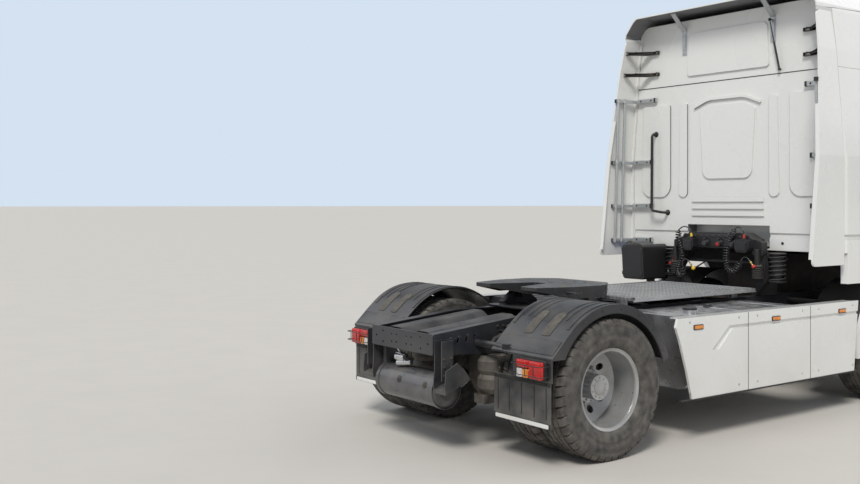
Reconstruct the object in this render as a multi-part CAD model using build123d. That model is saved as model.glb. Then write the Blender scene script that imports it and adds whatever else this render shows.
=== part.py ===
from build123d import *
import os
from math import cos, radians, sin, tan

# Two axle tractor unit with a high roof sleeper cab, in millimetres.
# +Z is up, the front faces -Y, the left side is +X, and the wheels stand on Z 0.
# The origin is on the ground at the middle of the overall length and width.

# Overall sizes
HALF_WIDTH = 1245.0
WHEELBASE = 3800.0
FRONT_OVERHANG = 1380.0
REAR_OVERHANG = 970.0
LENGTH = FRONT_OVERHANG + WHEELBASE + REAR_OVERHANG
FRONT = -LENGTH / 2
REAR = LENGTH / 2
FRONT_AXLE = FRONT + FRONT_OVERHANG
REAR_AXLE = FRONT_AXLE + WHEELBASE

# Clearances
TOUCH = 0.3          # two curved faces that meet
RUNNING = 0.08       # a pin in its hole, on the radius
PANEL_GAP = 8.0      # a door or lid beside its frame

# Tyres and rims
TYRE_RADIUS = 507.0
TYRE_WIDTH = 312.0
TREAD_WIDTH = 262.0
TYRE_BORE = 288.0
SHOULDER_DROP = 26.0
BEAD_WIDTH = 226.0
TWIN_SPACING = 345.0
RIM_WALL = 14.0
HAND_HOLES = 10
HAND_HOLE_RADIUS = 27.0
HAND_HOLE_CIRCLE = 196.0
FRONT_WHEEL_X = 1040.0
HUB_RADIUS = 118.0
KINGPIN_X = 900.0
SPINDLE_RADIUS = 38.0
REAR_OUTER_X = HALF_WIDTH - TYRE_WIDTH / 2
REAR_INNER_X = REAR_OUTER_X - TWIN_SPACING
REAR_MID_X = (REAR_OUTER_X + REAR_INNER_X) / 2
AXLE_TUBE_END = REAR_INNER_X - TYRE_WIDTH / 2 - 22

# Frame rails
RAIL_OUTER = 395.0
RAIL_FLANGE = 75.0
RAIL_PLATE = 8.0
RAIL_TOP = 960.0
RAIL_DEPTH = 260.0
RAIL_FRONT = FRONT + 300.0
END_TOP = 886.0
END_DEPTH = 150.0
END_PLATE = 12.0
RAMP_LENGTH = 760.0
RAIL_END = REAR - END_PLATE
RAMP_START = RAIL_END - RAMP_LENGTH

# Rear suspension
CHAMBER_X = 318.0
BELLOWS_REACH = 420.0
BELLOWS_X = RAIL_OUTER + 28
BEAM_TOP = 418.0

# Rear end
TOW_HOLE_RADIUS = 9.0
TANK_RADIUS = 130.0
TANK_Z = 462.0
TANK_HALF = 384.0
STRAP_PLATE = 5.0
STRAP_WIDTH = 36.0

# Coupling plate
COUPLING_Y = REAR_AXLE - 560.0
COUPLING_TOP = 1170.0
COUPLING_PIVOT_Z = 1062.0
KINGPIN_BORE = 26.0
SEAT_PLATE = 12.0
GREASE_GROOVES = (135.0, 215.0, 300.0)
GROOVE_WIDTH = 9.0
GROOVE_DEPTH = 3.0
HANDLE_REACH = 582.0
HANDLE_ROD = 8.0
HANDLE_BAR = 45.0
PEDESTAL_X = 372.0
PIVOT_PIN = 22.0
COVER_HALF = RAIL_OUTER - RAIL_PLATE
COVER_LENGTH = 820.0
COVER_SLOPE = 5.6

# Rear mudguards
GUARD_RADIUS = 610.0
GUARD_INNER_X = 606.0
GUARD_SKIN = 7.0
GUARD_OPENING = 545.0
LAMP_TOP = 768.0
LAMP_HEIGHT = 140.0
LAMP_INNER_X = 935.0
LAMP_OUTER_X = 1205.0
LAMP_DEPTH = 70.0

# Deck, tanks and skirts
DECK_TOP = 1050.0
DECK_RIB = 4.0
DECK_RIB_PITCH = 86.0
STRAP_RISE = 4.0
SKIRT_TOP = 965.0
SKIRT_BOTTOM = 335.0
SKIRT_SKIN = 22.0
SKIRT_REAR = REAR_AXLE - 665.0
LEFT_BOX_LENGTH = 830.0
FRONT_ARCH = 665.0
SIDE_TANK_INNER = 470.0
SIDE_TANK_OUTER = 1190.0

# Cab
CAB_FRONT = FRONT + 78.0
CAB_LENGTH = 2172.0
CAB_BACK = CAB_FRONT + CAB_LENGTH
CAB_LOW = 1118.0
DOOR_LOW = 655.0
FLOOR_LOW = 1420.0
FLOOR_TOP = 1462.0
CAB_WALL = 46.0
CAB_SEAM = 3050.0
ROOF_REAR = 3700.0
SCREEN_LOW = 2150.0
SCREEN_TOP = 3010.0
SCREEN_RAKE = 150.0
GLASS = 8.0
PRESSING = 14.0
DOOR_FRONT = FRONT + 455.0
DOOR_LENGTH = 1115.0
DOOR_REAR = DOOR_FRONT + DOOR_LENGTH
DOOR_TOP = 2975.0
DOOR_SKIN = 60.0
HATCH_TOP = 2060.0
HATCH_HALF = 880.0
HATCH_TOP_GAP = 12.0
LID_PIVOT_DROP = 24.0
LID_PIN = 5.0
LID_HINGE_X = 300.0
HATCH_SKIN = 26.0
DOOR_CHAMFER = 10.0
HINGE_X = HALF_WIDTH - 23.0
HINGE_Y = DOOR_FRONT + 12.0
HINGE_LEVELS = (1300.0, 1950.0)
HINGE_PIN = 4.0
SWAGE_Z = 1510.0
SILL_FRONT = 2190.0
SILL_REAR = 2440.0
TILT_Y = CAB_FRONT + 98.0
TILT_Z = 1110.0
SIDE_LEAN_START = 2250.0
LEAN = 78.0
ROOF_CORNER = 170.0
SEAT_REACH = 860.0
SEAT_DEPTH = 620.0

# Grille slots as (low, high, half width), then the door handles
GRILLE_SLOTS = (
    (1236.0, 1290.0, 730.0), (1322.0, 1376.0, 745.0), (1408.0, 1462.0, 760.0),
    (1640.0, 1700.0, 620.0), (1736.0, 1796.0, 600.0),
)
GRILLE_DEPTH = 14.0
GRIP_Z = 1640.0
GRIP_GAP = 20.0
GRIP_PLATE = 10.0
GRIP_HEIGHT = 36.0
GRIP_FOOT = 26.0

# Side deflectors behind the cab
FAIRING_LOW = 1290.0
FAIRING_TOP = 3545.0
FAIRING_REAR_LOW = CAB_BACK + 495.0
FAIRING_REAR_TOP = CAB_BACK + 235.0
FAIRING_SKIN = 16.0
ARM_LEVELS = (1430.0, 1790.0, 2250.0, 2900.0)
GRAB_X = 885.0
GRAB_REACH = 80.0
GRAB_ROD = 14.0

# Walkway, portal behind the cab and its pods as (middle, half width)
DECK_FRONT = CAB_BACK + 330
DECK_REAR = COUPLING_Y - 395
LEFT_BOX_FRONT = CAB_BACK + 325
PORTAL_Y = CAB_BACK - 120
PORTAL_BACK = PORTAL_Y + 300
PODS = ((272, 62), (-352, 76))
POD_TOP = 1492.0
CROSS_TUBE_Z = 1268.0

# Front wheel arch
GUARD_FOOT = 440.0
GUARD_INNER = 612.0

# Air lines behind the cab: a plain start, a stretch wound as a coil, a plain end and its plug.
# Each point is (x, y, z), chosen by hand along the line with the back wall at LINE_WALL.
LINE_WALL = -825.0
COIL_DIAMETER = 68.0
LINE_DIAMETER = 12.0
PLUG_LENGTH = 70.0
AIR_LINES = (
    {
        "start": (
            (262, -608, 1510), (268, -608, 1562), (304, -604, 1602), (362, -600, 1606), (408, -598, 1572),
        ),
        "coil": (
            (408, -598, 1572), (424, -598, 1500), (390, -599, 1425), (370, -600, 1348), (368, -600, 1286),
            (406, -592, 1222),
            (412, -576, 1164), (376, -562, 1122), (330, -550, 1126), (306, -543, 1166), (316, -540, 1212),
        ),
        "end": (
            (316, -540, 1212), (320, -540, 1243), (313, -540, 1268), (293, -540, 1284), (268, -541, 1286),
            (247, -542, 1272), (224, -544, 1243),
        ),
    },
    {
        "start": (
            (-354, -608, 1510), (-352, -608, 1550), (-340, -606, 1584), (-316, -603, 1606),
            (-286, -600, 1610),
            (-262, -598, 1596),
        ),
        "coil": (
            (-262, -598, 1596), (-222, -598, 1545), (-184, -598, 1472), (-164, -598, 1396),
            (-159, -598, 1318),
            (-164, -594, 1248), (-200, -588, 1192), (-256, -582, 1186), (-306, -578, 1232),
            (-343, -576, 1290),
        ),
        "end": (
            (-343, -576, 1290), (-356, -576, 1314), (-376, -576, 1330), (-401, -576, 1331),
            (-422, -577, 1316),
            (-443, -578, 1290),
        ),
    },
)

# Bumper
BUMPER_LOW = 330.0
BUMPER_SKIN = 34.0
BUMPER_TOP = 900.0
LAMP_UNIT_TOP = 1060.0
FOG_X = 800.0
FOG_Z = 520.0
FOG_RADIUS = 48.0
BUMPER_BACK = FRONT + 446.0


def block(x, y, z):
    """A box from three (low, high) pairs."""
    size = [b - a for a, b in (x, y, z)]
    return Pos(*[(a + b) / 2 for a, b in (x, y, z)]) * Box(*size)


def outline(corners):
    """A closed face from (a, b) or (a, b, corner radius) entries."""
    points = [(c[0], c[1]) for c in corners]
    radii = [c[2] if len(c) > 2 else 0 for c in corners]
    if any(radii):
        return make_face(FilletPolyline(*points, radius=radii, close=True))
    return make_face(Polyline(*points, close=True))


def side_prism(corners, x0, x1):
    """An outline in (y, z), carried across from x0 to x1."""
    plane = Plane(origin=(x0, 0, 0), x_dir=(0, 1, 0), z_dir=(1, 0, 0))
    return extrude(plane * outline(corners), x1 - x0)


def front_prism(corners, y0, y1):
    """An outline in (x, z), carried from y0 to y1."""
    plane = Plane(origin=(0, y1, 0), x_dir=(1, 0, 0), z_dir=(0, -1, 0))
    return extrude(plane * outline(corners), y1 - y0)


def plan_prism(corners, z0, z1):
    """An outline in (x, y), carried up from z0 to z1."""
    return extrude(Plane.XY.offset(z0) * outline(corners), z1 - z0)


def rod(a, b, radius):
    """A round bar between two points."""
    a, b = Vector(*a), Vector(*b)
    plane = Plane(origin=a, z_dir=b - a)
    return extrude(plane * Circle(radius), (b - a).length)


def across(x0, x1, y, z, radius):
    """A round bar along X."""
    return rod((x0, y, z), (x1, y, z), radius)


def spun(section, x, y, z):
    """A section in (along x, radius) turned about the X direction through a point."""
    return Pos(x, y, z) * revolve(Plane.XZ * outline(section), Axis.X)


def flip(shape):
    """The same piece on the other side."""
    return mirror(shape, about=Plane.YZ)


def group(*shapes):
    """Separate solids in one node."""
    return Compound([s for shape in shapes for s in shape.solids()])


def pair(shape):
    """A piece and its mirror image."""
    return group(shape, flip(shape))


def line_points(points):
    """Points of an air line, moved along with the cab's back wall."""
    return [Vector(x, y + CAB_BACK - LINE_WALL, z) for x, y, z in points]


# Wheels

def tyre(x, y):
    """One tyre with flat tread and angled shoulders."""
    half, tread, bead = TYRE_WIDTH / 2, TREAD_WIDTH / 2, BEAD_WIDTH / 2
    section = [
        (-bead, TYRE_BORE),
        (-half, TYRE_BORE + 70),
        (-half, TYRE_RADIUS - 3 * SHOULDER_DROP),
        (-tread, TYRE_RADIUS),
        (tread, TYRE_RADIUS),
        (half, TYRE_RADIUS - 3 * SHOULDER_DROP),
        (half, TYRE_BORE + 70),
        (bead, TYRE_BORE),
    ]
    return spun(section, x, y, TYRE_RADIUS)


def rim(x, y, dish, face):
    """A rim whose disc stands dish to the outside of the middle, facing face (1 out, -1 in)."""
    half = BEAD_WIDTH / 2
    outer = TYRE_BORE - TOUCH
    barrel = spun(
        [(-half, outer - RIM_WALL), (-half, outer), (half, outer), (half, outer - RIM_WALL)], 0, 0, 0,
    )
    root = face * (half - RIM_WALL)
    disc = spun(
        [
            (root, outer - RIM_WALL / 2),
            (root + face * RIM_WALL, outer - RIM_WALL / 2),
            (dish + face * RIM_WALL, HUB_RADIUS + 40),
            (dish + face * RIM_WALL, 0),
            (dish, 0),
            (dish, HUB_RADIUS + 40),
        ],
        0, 0, 0,
    )
    for k in range(HAND_HOLES):
        turn = radians(k * 360 / HAND_HOLES)
        hole = (HAND_HOLE_CIRCLE * cos(turn), HAND_HOLE_CIRCLE * sin(turn))
        disc -= across(-TYRE_WIDTH, TYRE_WIDTH, hole[0], hole[1], HAND_HOLE_RADIUS)
    return Pos(x, y, TYRE_RADIUS) * (barrel + disc)


def front_wheel():
    """Steered wheel on the left, with its hub bored for the stub axle."""
    x, y = FRONT_WHEEL_X, FRONT_AXLE
    wheel = rim(x, y, 48.0, 1)
    wheel += across(x - 40, x + 120, y, TYRE_RADIUS, HUB_RADIUS)
    wheel += across(x + 120, x + 142, y, TYRE_RADIUS, 74)
    wheel -= across(x - 60, x + 62, y, TYRE_RADIUS, SPINDLE_RADIUS + RUNNING)
    return wheel


def rear_wheel():
    """Twin rims bolted disc to disc on one hub."""
    y = REAR_AXLE
    reach = TWIN_SPACING / 2 - RIM_WALL
    wheel = rim(REAR_OUTER_X, y, -reach, -1) + rim(REAR_INNER_X, y, reach, 1)
    wheel += across(AXLE_TUBE_END + 8, REAR_MID_X + 60, y, TYRE_RADIUS, HUB_RADIUS)
    wheel += across(REAR_MID_X + 60, REAR_MID_X + 190, y, TYRE_RADIUS, 92)
    wheel -= across(AXLE_TUBE_END, REAR_MID_X - 20, y, TYRE_RADIUS, SPINDLE_RADIUS + RUNNING)
    return wheel


# Axles and springs

def front_axle():
    """Dropped beam with an eye at each end for the kingpin."""
    half = [
        (0, 380), (560, 380), (800, 452), (KINGPIN_X - 30, 452), (KINGPIN_X - 30, 560), (770, 560),
        (560, 480), (0, 480),
    ]
    beam = front_prism(half, FRONT_AXLE - 55, FRONT_AXLE + 55)
    beam += rod((KINGPIN_X, FRONT_AXLE, 450), (KINGPIN_X, FRONT_AXLE, 564), 60)
    beam -= rod((KINGPIN_X, FRONT_AXLE, 440), (KINGPIN_X, FRONT_AXLE, 574), 24 + RUNNING)
    return beam + flip(beam)


def knuckle():
    """Yoke over the axle eye, with the kingpin and the stub axle, on the left."""
    y = FRONT_AXLE
    part = block((KINGPIN_X + 66, KINGPIN_X + 90), (y - 75, y + 75), (386, 628))
    for low, high in ((386, 447), (567, 628)):
        part += rod((KINGPIN_X, y, low), (KINGPIN_X, y, high), 58)
        part += block((KINGPIN_X, KINGPIN_X + 70), (y - 58, y + 58), (low, high))
    part += rod((KINGPIN_X, y, 400), (KINGPIN_X, y, 600), 24)
    part += across(KINGPIN_X + 80, FRONT_WHEEL_X + 60, y, TYRE_RADIUS, SPINDLE_RADIUS)
    return part


def leaf_spring():
    """Parabolic spring under the left rail, with its seat on the axle and its two hangers."""
    x0, x1 = RAIL_OUTER - 70, RAIL_OUTER + 10
    low, high = 498, RAIL_TOP - RAIL_DEPTH - 30
    reach, thick = 720, 42
    ends = [(FRONT_AXLE - reach, high), (FRONT_AXLE + reach, high)]
    face = make_face(
        ThreePointArc(ends[0], (FRONT_AXLE, low + thick), ends[1])
        + Line(ends[1], (ends[1][0], high - thick))
        + ThreePointArc((ends[1][0], high - thick), (FRONT_AXLE, low), (ends[0][0], high - thick))
        + Line((ends[0][0], high - thick), ends[0])
    )
    plane = Plane(origin=(x0, 0, 0), x_dir=(0, 1, 0), z_dir=(1, 0, 0))
    spring = extrude(plane * face, x1 - x0)
    spring += block((x0, x1), (FRONT_AXLE - 70, FRONT_AXLE + 70), (480, low + thick + 16))
    for y in (FRONT_AXLE - reach, FRONT_AXLE + reach):
        spring += block((x0 + 6, x1 - 6), (y - 45, y + 45), (high - thick - 8, RAIL_TOP - RAIL_DEPTH))
    return spring


def rear_axle():
    """Drive axle: round case, pinion nose, side tubes and stub axles."""
    y, z = REAR_AXLE, TYRE_RADIUS
    case = rod((0, y - 130, z), (0, y + 150, z), 215)
    case += rod((0, y - 300, z + 20), (0, y - 120, z + 20), 96)
    case += across(-AXLE_TUBE_END, AXLE_TUBE_END, y, z, 76)
    for side_x in (-1, 1):
        x = side_x * CHAMBER_X
        case += rod((x, y + 92, z + 62), (x, y + 226, z + 62), 70) + rod(
            (x, y + 150, z + 62), (x, y + 166, z + 62), 76,
        )
        case += block((x - 26, x + 26), (y, y + 96), (z + 10, z + 92))
    return case + across(-REAR_MID_X + 30, REAR_MID_X - 30, y, z, SPINDLE_RADIUS)


def rear_beam():
    """Left beam under the axle tube, which carries two bellows."""
    y = REAR_AXLE
    beam = side_prism(
        [(y - 560, 352), (y + 560, 352), (y + 560, BEAM_TOP), (y - 560, BEAM_TOP)],
        BELLOWS_X - 60, BELLOWS_X + 60,
    )
    top = TYRE_RADIUS - 76
    return beam + block((BELLOWS_X - 40, BELLOWS_X + 40), (y - 50, y + 50), (BEAM_TOP, top - TOUCH))


def bellows(y):
    """Rubber air spring between the beam and the rail, on the left."""
    low, high = BEAM_TOP, RAIL_TOP - RAIL_DEPTH
    rings = [(0, 96), (40, 122), (110, 122), (141, 104), (172, 122), (242, 122), (high - low, 96)]
    section = [(0, 0)] + [(r, h) for h, r in rings] + [(0, high - low)]
    return Pos(BELLOWS_X, y, low) * revolve(Plane.XZ * outline(section), Axis.Z)


# Frame


def rail_profile(inset, grow):
    """Side view of a rail, with its sloping tail, less an inset all round and longer by grow."""
    low = RAIL_TOP - RAIL_DEPTH
    return [
        (RAIL_FRONT - grow, low + inset),
        (RAMP_START + 160, low + inset),
        (RAIL_END + grow, END_TOP - END_DEPTH + inset),
        (RAIL_END + grow, END_TOP - inset),
        (RAMP_START, RAIL_TOP - inset),
        (RAIL_FRONT - grow, RAIL_TOP - inset),
    ]


def rail():
    """Left rail: a channel that opens inwards, with slots near its tail."""
    outer = side_prism(rail_profile(0, 0), RAIL_OUTER - RAIL_FLANGE, RAIL_OUTER)
    hollow = side_prism(rail_profile(RAIL_PLATE, 10), RAIL_OUTER - RAIL_FLANGE - 1, RAIL_OUTER - RAIL_PLATE)
    piece = outer - hollow
    for k in range(4):
        y = RAIL_END - 150 - 78 * k
        slot = [(y - 14, 858 + 4 * k), (y + 8, 858 + 4 * k), (y + 22, 806 + 4 * k), (y, 806 + 4 * k)]
        piece -= side_prism(slot, RAIL_OUTER - 20, RAIL_OUTER + 5)
    return piece


def end_plate():
    """Plate across the rail ends, drilled for a towing jaw."""
    low = END_TOP - END_DEPTH
    mid = END_TOP - END_DEPTH / 2
    plate = front_prism(
        [
            (-RAIL_OUTER, low, 14), (RAIL_OUTER, low, 14), (RAIL_OUTER, END_TOP, 14),
            (-RAIL_OUTER, END_TOP, 14),
        ],
        RAIL_END, REAR,
    )
    holes = [(64, 28), (127, 28), (245, 41)]
    places = [(sx * x, mid + sz * z) for x, z in holes for sx in (-1, 1) for sz in (-1, 1)]
    places += [(-335, mid), (335, mid)]
    for x, z in places:
        plate -= rod((x, RAIL_END - 5, z), (x, REAR + 5, z), TOW_HOLE_RADIUS)
    return plate


def crossmembers():
    """Channel sections between the rail webs."""
    inner = RAIL_OUTER - RAIL_PLATE
    low = RAIL_TOP - RAIL_DEPTH + RAIL_PLATE
    high = RAIL_TOP - RAIL_PLATE
    made = []
    for y, z0, z1 in (
        (RAIL_FRONT + 50, low, high - 110),
        (CAB_BACK + 565, high - 80, high),
        (COUPLING_Y - 905, low + 120, high),
        (REAR_AXLE - 560, low + 120, high),
        (REAR_AXLE + 300, low, low + 80),
    ):
        bar = block((-inner, inner), (y - 45, y + 45), (z0, z1))
        bar -= block((-inner - 1, inner + 1), (y - 37, y + 50), (z0 + 8, z1 - 8))
        made.append(bar)
    return group(*made)


def rear_bracket():
    """Folded post and wedge shoe that hang from the left rail's tail."""
    x0, x1 = RAIL_OUTER, RAIL_OUTER + 92
    y0, y1 = REAR - 118, REAR - 14
    post = block((x0, x1), (y0, y1), (560, 846)) - block((x0 + 8, x1 - 8), (y0 + 8, y1 + 1), (540, 900))
    shoe_out = [(y0 - 120, 560), (y1 + 2, 468), (y1 + 10, 520), (y1, 640), (y0, 690), (y0 - 60, 640)]
    shoe = side_prism(shoe_out, x0, x1 + 50)
    inner = [(y0 - 96, 572), (y1 + 40, 484), (y1 + 40, 700), (y0 + 4, 700), (y0 - 44, 634)]
    shoe -= side_prism(inner, x0 + 8, x1 + 42)
    post -= rod(((x0 + x1) / 2, y0 - 5, 790), ((x0 + x1) / 2, y0 + 20, 790), 16)
    gusset = side_prism([(y0 - 90, 846), (y0 + 1, 846), (y0 + 1, 700)], x0, x0 + 8)
    return post + shoe + gusset


def rear_tank():
    """Air reservoir across the tail, with domed ends."""
    y = REAR - TANK_RADIUS - 16
    section = [
        (-TANK_HALF, 0), (-TANK_HALF, 70), (-TANK_HALF + 34, TANK_RADIUS),
        (TANK_HALF - 34, TANK_RADIUS), (TANK_HALF, 70), (TANK_HALF, 0),
    ]
    return spun(section, 0, y, TANK_Z)


def tank_strap():
    """Strap round the reservoir and its hanger up to the left rail."""
    y = REAR - TANK_RADIUS - 16
    x0 = RAIL_OUTER - RAIL_FLANGE + 12
    x1 = x0 + STRAP_WIDTH
    ring = across(x0, x1, y, TANK_Z, TANK_RADIUS + TOUCH + STRAP_PLATE)
    rise = RAMP_LENGTH - 160
    drop = (RAIL_DEPTH - (RAIL_TOP - END_TOP) - END_DEPTH) / rise

    def under_rail(at):
        return END_TOP - END_DEPTH - (RAIL_END - at) * drop

    hanger = side_prism(
        [
            (y - 60, TANK_Z + 90), (y + 60, TANK_Z + 90), (y + 60, under_rail(y + 60)),
            (y - 60, under_rail(y - 60)),
        ],
        x0, x1,
    )
    return ring + hanger - across(x0 - 1, x1 + 1, y, TANK_Z, TANK_RADIUS + TOUCH)


# Coupling plate

def seat_plate():
    """Flat plate over the rails under the coupling."""
    y = COUPLING_Y
    reach = RAIL_OUTER + 55
    return plan_prism(
        [(-reach, y - 360, 60), (reach, y - 360, 60), (reach, y + 330, 60), (-reach, y + 330, 60)],
        RAIL_TOP, RAIL_TOP + SEAT_PLATE,
    )


def pedestal():
    """Left bearing block with the pin that the coupling plate rocks on."""
    y, z = COUPLING_Y, COUPLING_PIVOT_Z
    base = RAIL_TOP + SEAT_PLATE
    body = side_prism(
        [
            (y - 190, base), (y + 190, base), (y + 190, base + 18), (y + 46, z + 30, 30),
            (y - 46, z + 30, 30), (y - 190, base + 18),
        ],
        PEDESTAL_X, PEDESTAL_X + 70,
    )
    return body + across(PEDESTAL_X - 62, PEDESTAL_X + 10, y, z, PIVOT_PIN)


def coupling():
    """Greased coupling plate with a rear throat, side skirts and two pivot lugs."""
    y = COUPLING_Y
    plan = [
        (-300, y - 375, 90), (300, y - 375, 90), (478, y - 170, 120), (478, y + 180, 150), (372, y + 520, 60),
        (196, y + 520, 40), (74, y + 110, 30), (-74, y + 110, 30), (-196, y + 520, 40), (-372, y + 520, 60),
        (-478, y + 180, 150), (-478, y - 170, 120),
    ]
    slab = plan_prism(plan, COUPLING_TOP - 130, COUPLING_TOP)
    side = [
        (y - 380, COUPLING_TOP), (y - 380, COUPLING_TOP - 52), (y - 170, COUPLING_TOP - 96),
        (y + 170, COUPLING_TOP - 96),
        (y + 525, COUPLING_TOP - 26), (y + 525, COUPLING_TOP),
    ]
    slab = slab & side_prism(side, -490, 490)
    under = [
        (-255, y - 340), (255, y - 340), (440, y - 150), (440, y + 170), (345, y + 470),
        (225, y + 470), (110, y + 80), (-110, y + 80), (-225, y + 470), (-345, y + 470),
        (-440, y + 170), (-440, y - 150),
    ]
    pocket = plan_prism(under, COUPLING_TOP - 140, COUPLING_TOP - 34)
    pocket -= block((-74, 74), (y - 90, y + 90), (COUPLING_TOP - 150, COUPLING_TOP))
    slab -= pocket
    slab -= rod((0, y, COUPLING_TOP - 150), (0, y, COUPLING_TOP + 10), KINGPIN_BORE)
    for side_x in (-1, 1):
        lug = side_prism(
            [
                (y - 60, COUPLING_TOP - 30), (y + 60, COUPLING_TOP - 30),
                (y + 40, COUPLING_PIVOT_Z - 40, 36), (y - 40, COUPLING_PIVOT_Z - 40, 36),
            ],
            PEDESTAL_X - 58, PEDESTAL_X - 8,
        )
        slab += lug if side_x > 0 else flip(lug)
    slab -= across(-PEDESTAL_X - 20, PEDESTAL_X + 20, y, COUPLING_PIVOT_Z, PIVOT_PIN + RUNNING) & block(
        (-PEDESTAL_X - 20, PEDESTAL_X + 20), (y - 60, y + 60), (COUPLING_PIVOT_Z - 60, COUPLING_PIVOT_Z + 60)
    )
    room = block(
        (PEDESTAL_X - 6, PEDESTAL_X + 82), (y - 200, y + 200), (COUPLING_TOP - 150, COUPLING_TOP - 34),
    )
    slab = slab - room - flip(room)
    for radius in GREASE_GROOVES:
        low, high = COUPLING_TOP - GROOVE_DEPTH, COUPLING_TOP + 5
        groove = rod((0, y, low), (0, y, high), radius) - rod(
            (0, y, low - 1), (0, y, high + 1), radius - GROOVE_WIDTH,
        )
        slab -= groove & block((-radius, radius), (y - radius - 1, y + radius * 0.35), (low, high))
    z = COUPLING_TOP - 44
    handle = across(-HANDLE_REACH, -400, y + 250, z, HANDLE_ROD)
    handle += block(
        (-HANDLE_REACH, -HANDLE_REACH + 14), (y + 250 - HANDLE_BAR, y + 250 + HANDLE_BAR),
        (z - HANDLE_ROD, z + HANDLE_ROD),
    )
    return slab + handle


# Rear mudguards and lamps

def guard_face(inset):
    """Side outline of the rear mudguard, filled down to its lower line."""
    y, z = REAR_AXLE, TYRE_RADIUS
    r = GUARD_RADIUS - inset
    a0, a1, a2 = radians(163), radians(105), radians(47)
    start = (y + r * cos(a0), z + r * sin(a0))
    middle = (y + r * cos(a1), z + r * sin(a1))
    end = (y + r * cos(a2), z + r * sin(a2))
    step = (y + 470 - inset * 0.7, 905 - inset * 0.7)
    tail = (y + 598 - inset, LAMP_TOP + 14)
    foot = (y + 598 - inset, LAMP_TOP)
    edges = (
        ThreePointArc(start, middle, end)
        + Polyline(end, step, tail, foot)
        + Polyline(foot, (y, LAMP_TOP - 330 - 9 * inset), start)
    )
    return make_face(edges)


def mudguard():
    """Left rear mudguard: arch, sloping tail, outer skirt, lamp panel and its two carrier tubes."""
    y, z = REAR_AXLE, TYRE_RADIUS
    outer_plane = Plane(origin=(GUARD_INNER_X, 0, 0), x_dir=(0, 1, 0), z_dir=(1, 0, 0))
    body = extrude(outer_plane * guard_face(0), HALF_WIDTH - GUARD_INNER_X)
    inner_plane = Plane(origin=(GUARD_INNER_X - 1, 0, 0), x_dir=(0, 1, 0), z_dir=(1, 0, 0))
    body -= extrude(inner_plane * guard_face(GUARD_SKIN), HALF_WIDTH - GUARD_SKIN - GUARD_INNER_X + 1)
    body -= across(HALF_WIDTH - 60, HALF_WIDTH + 10, y, z, GUARD_OPENING)
    below = [
        (y - 900, 100), (y + 900, 100), (y + 900, LAMP_TOP), (y + 380, LAMP_TOP), (y, z), (y - 700, z + 178),
    ]
    body -= side_prism(below, GUARD_INNER_X - 10, HALF_WIDTH + 10)
    panel_y = y + 598
    body += block(
        (LAMP_INNER_X - 90, HALF_WIDTH - 10), (panel_y - 14, panel_y),
        (LAMP_TOP - LAMP_HEIGHT - 14, LAMP_TOP + 6),
    )
    body += across(RAIL_OUTER, HALF_WIDTH - 200, panel_y - 44, LAMP_TOP + 30, 26)
    body += block((720, 780), (panel_y - 60, panel_y - 6), (LAMP_TOP + 10, LAMP_TOP + 60))
    front_y, front_z = y - 600, z + 205
    body += across(RAIL_OUTER, HALF_WIDTH - 200, front_y, front_z, 26)
    return body


def tail_lamp():
    """Left lamp body on the panel under the mudguard."""
    y = REAR_AXLE + 598
    low, high = LAMP_TOP - LAMP_HEIGHT, LAMP_TOP - 6

    def plate(inset, y0, y1):
        x0, x1, z0, z1 = LAMP_INNER_X + inset, LAMP_OUTER_X - inset, low + inset, high - inset
        return front_prism([(x0, z0, 14), (x1, z0, 14), (x1, z1, 14), (x0, z1, 14)], y0, y1)

    lamp = plate(0, y, y + 20) + plate(-7, y + 20, y + 28) + plate(5, y + 28, y + LAMP_DEPTH - 8)
    for x0, x1 in ((LAMP_INNER_X + 12, LAMP_INNER_X + 122), (LAMP_INNER_X + 140, LAMP_OUTER_X - 12)):
        lamp += front_prism(
            [(x0, low + 12, 9), (x1, low + 12, 9), (x1, high - 12, 9), (x0, high - 12, 9)],
            y + LAMP_DEPTH - 9, y + LAMP_DEPTH,
        )
    return lamp


# Deck, tanks and skirts


def deck():
    """Walkway plate over the rails, on four feet."""
    plate = block((-560, 560), (DECK_FRONT, DECK_REAR), (DECK_TOP - 22, DECK_TOP))
    plate -= block((-552, 552), (DECK_FRONT + 8, DECK_REAR - 8), (DECK_TOP - 30, DECK_TOP - 5))
    for x in (-RAIL_OUTER + 30, RAIL_OUTER - 30):
        for y in (DECK_FRONT + 80, DECK_REAR - 80):
            plate += block((x - 25, x + 25), (y - 40, y + 40), (RAIL_TOP, DECK_TOP - 4))
    count = int((DECK_REAR - DECK_FRONT - 160) / DECK_RIB_PITCH)
    for k in range(count + 1):
        y = DECK_FRONT + 80 + k * DECK_RIB_PITCH
        plate += block((-520, 520), (y - 9, y + 9), (DECK_TOP - 2, DECK_TOP + DECK_RIB))
    return plate


def fuel_tank():
    """Long aluminium tank on the right, with rounded edges, filler and three brackets."""
    low, high = SKIRT_BOTTOM + 60, SKIRT_TOP - 12
    inner, outer = SIDE_TANK_INNER, SIDE_TANK_OUTER
    tank = front_prism(
        [(-outer, low, 110), (-inner, low, 60), (-inner, high, 60), (-outer, high, 90)],
        CAB_BACK + 495, SKIRT_REAR - 220,
    )
    filler_y = SKIRT_REAR - 460
    tank += rod((-outer + 190, filler_y, high - 4), (-outer + 190, filler_y, high + 34), 52)
    g = STRAP_RISE
    for y in (CAB_BACK + 645, CAB_BACK + 1245, SKIRT_REAR - 400):
        tank += block((-inner - 4, -RAIL_OUTER), (y - 35, y + 35), (low + 120, RAIL_TOP - 60))
        tank += front_prism(
            [
                (-outer - g, low - g, 114), (-inner + g, low - g, 64), (-inner + g, high + g, 64),
                (-outer - g, high + g, 94),
            ],
            y - 24, y + 24,
        )
    return tank


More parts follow.
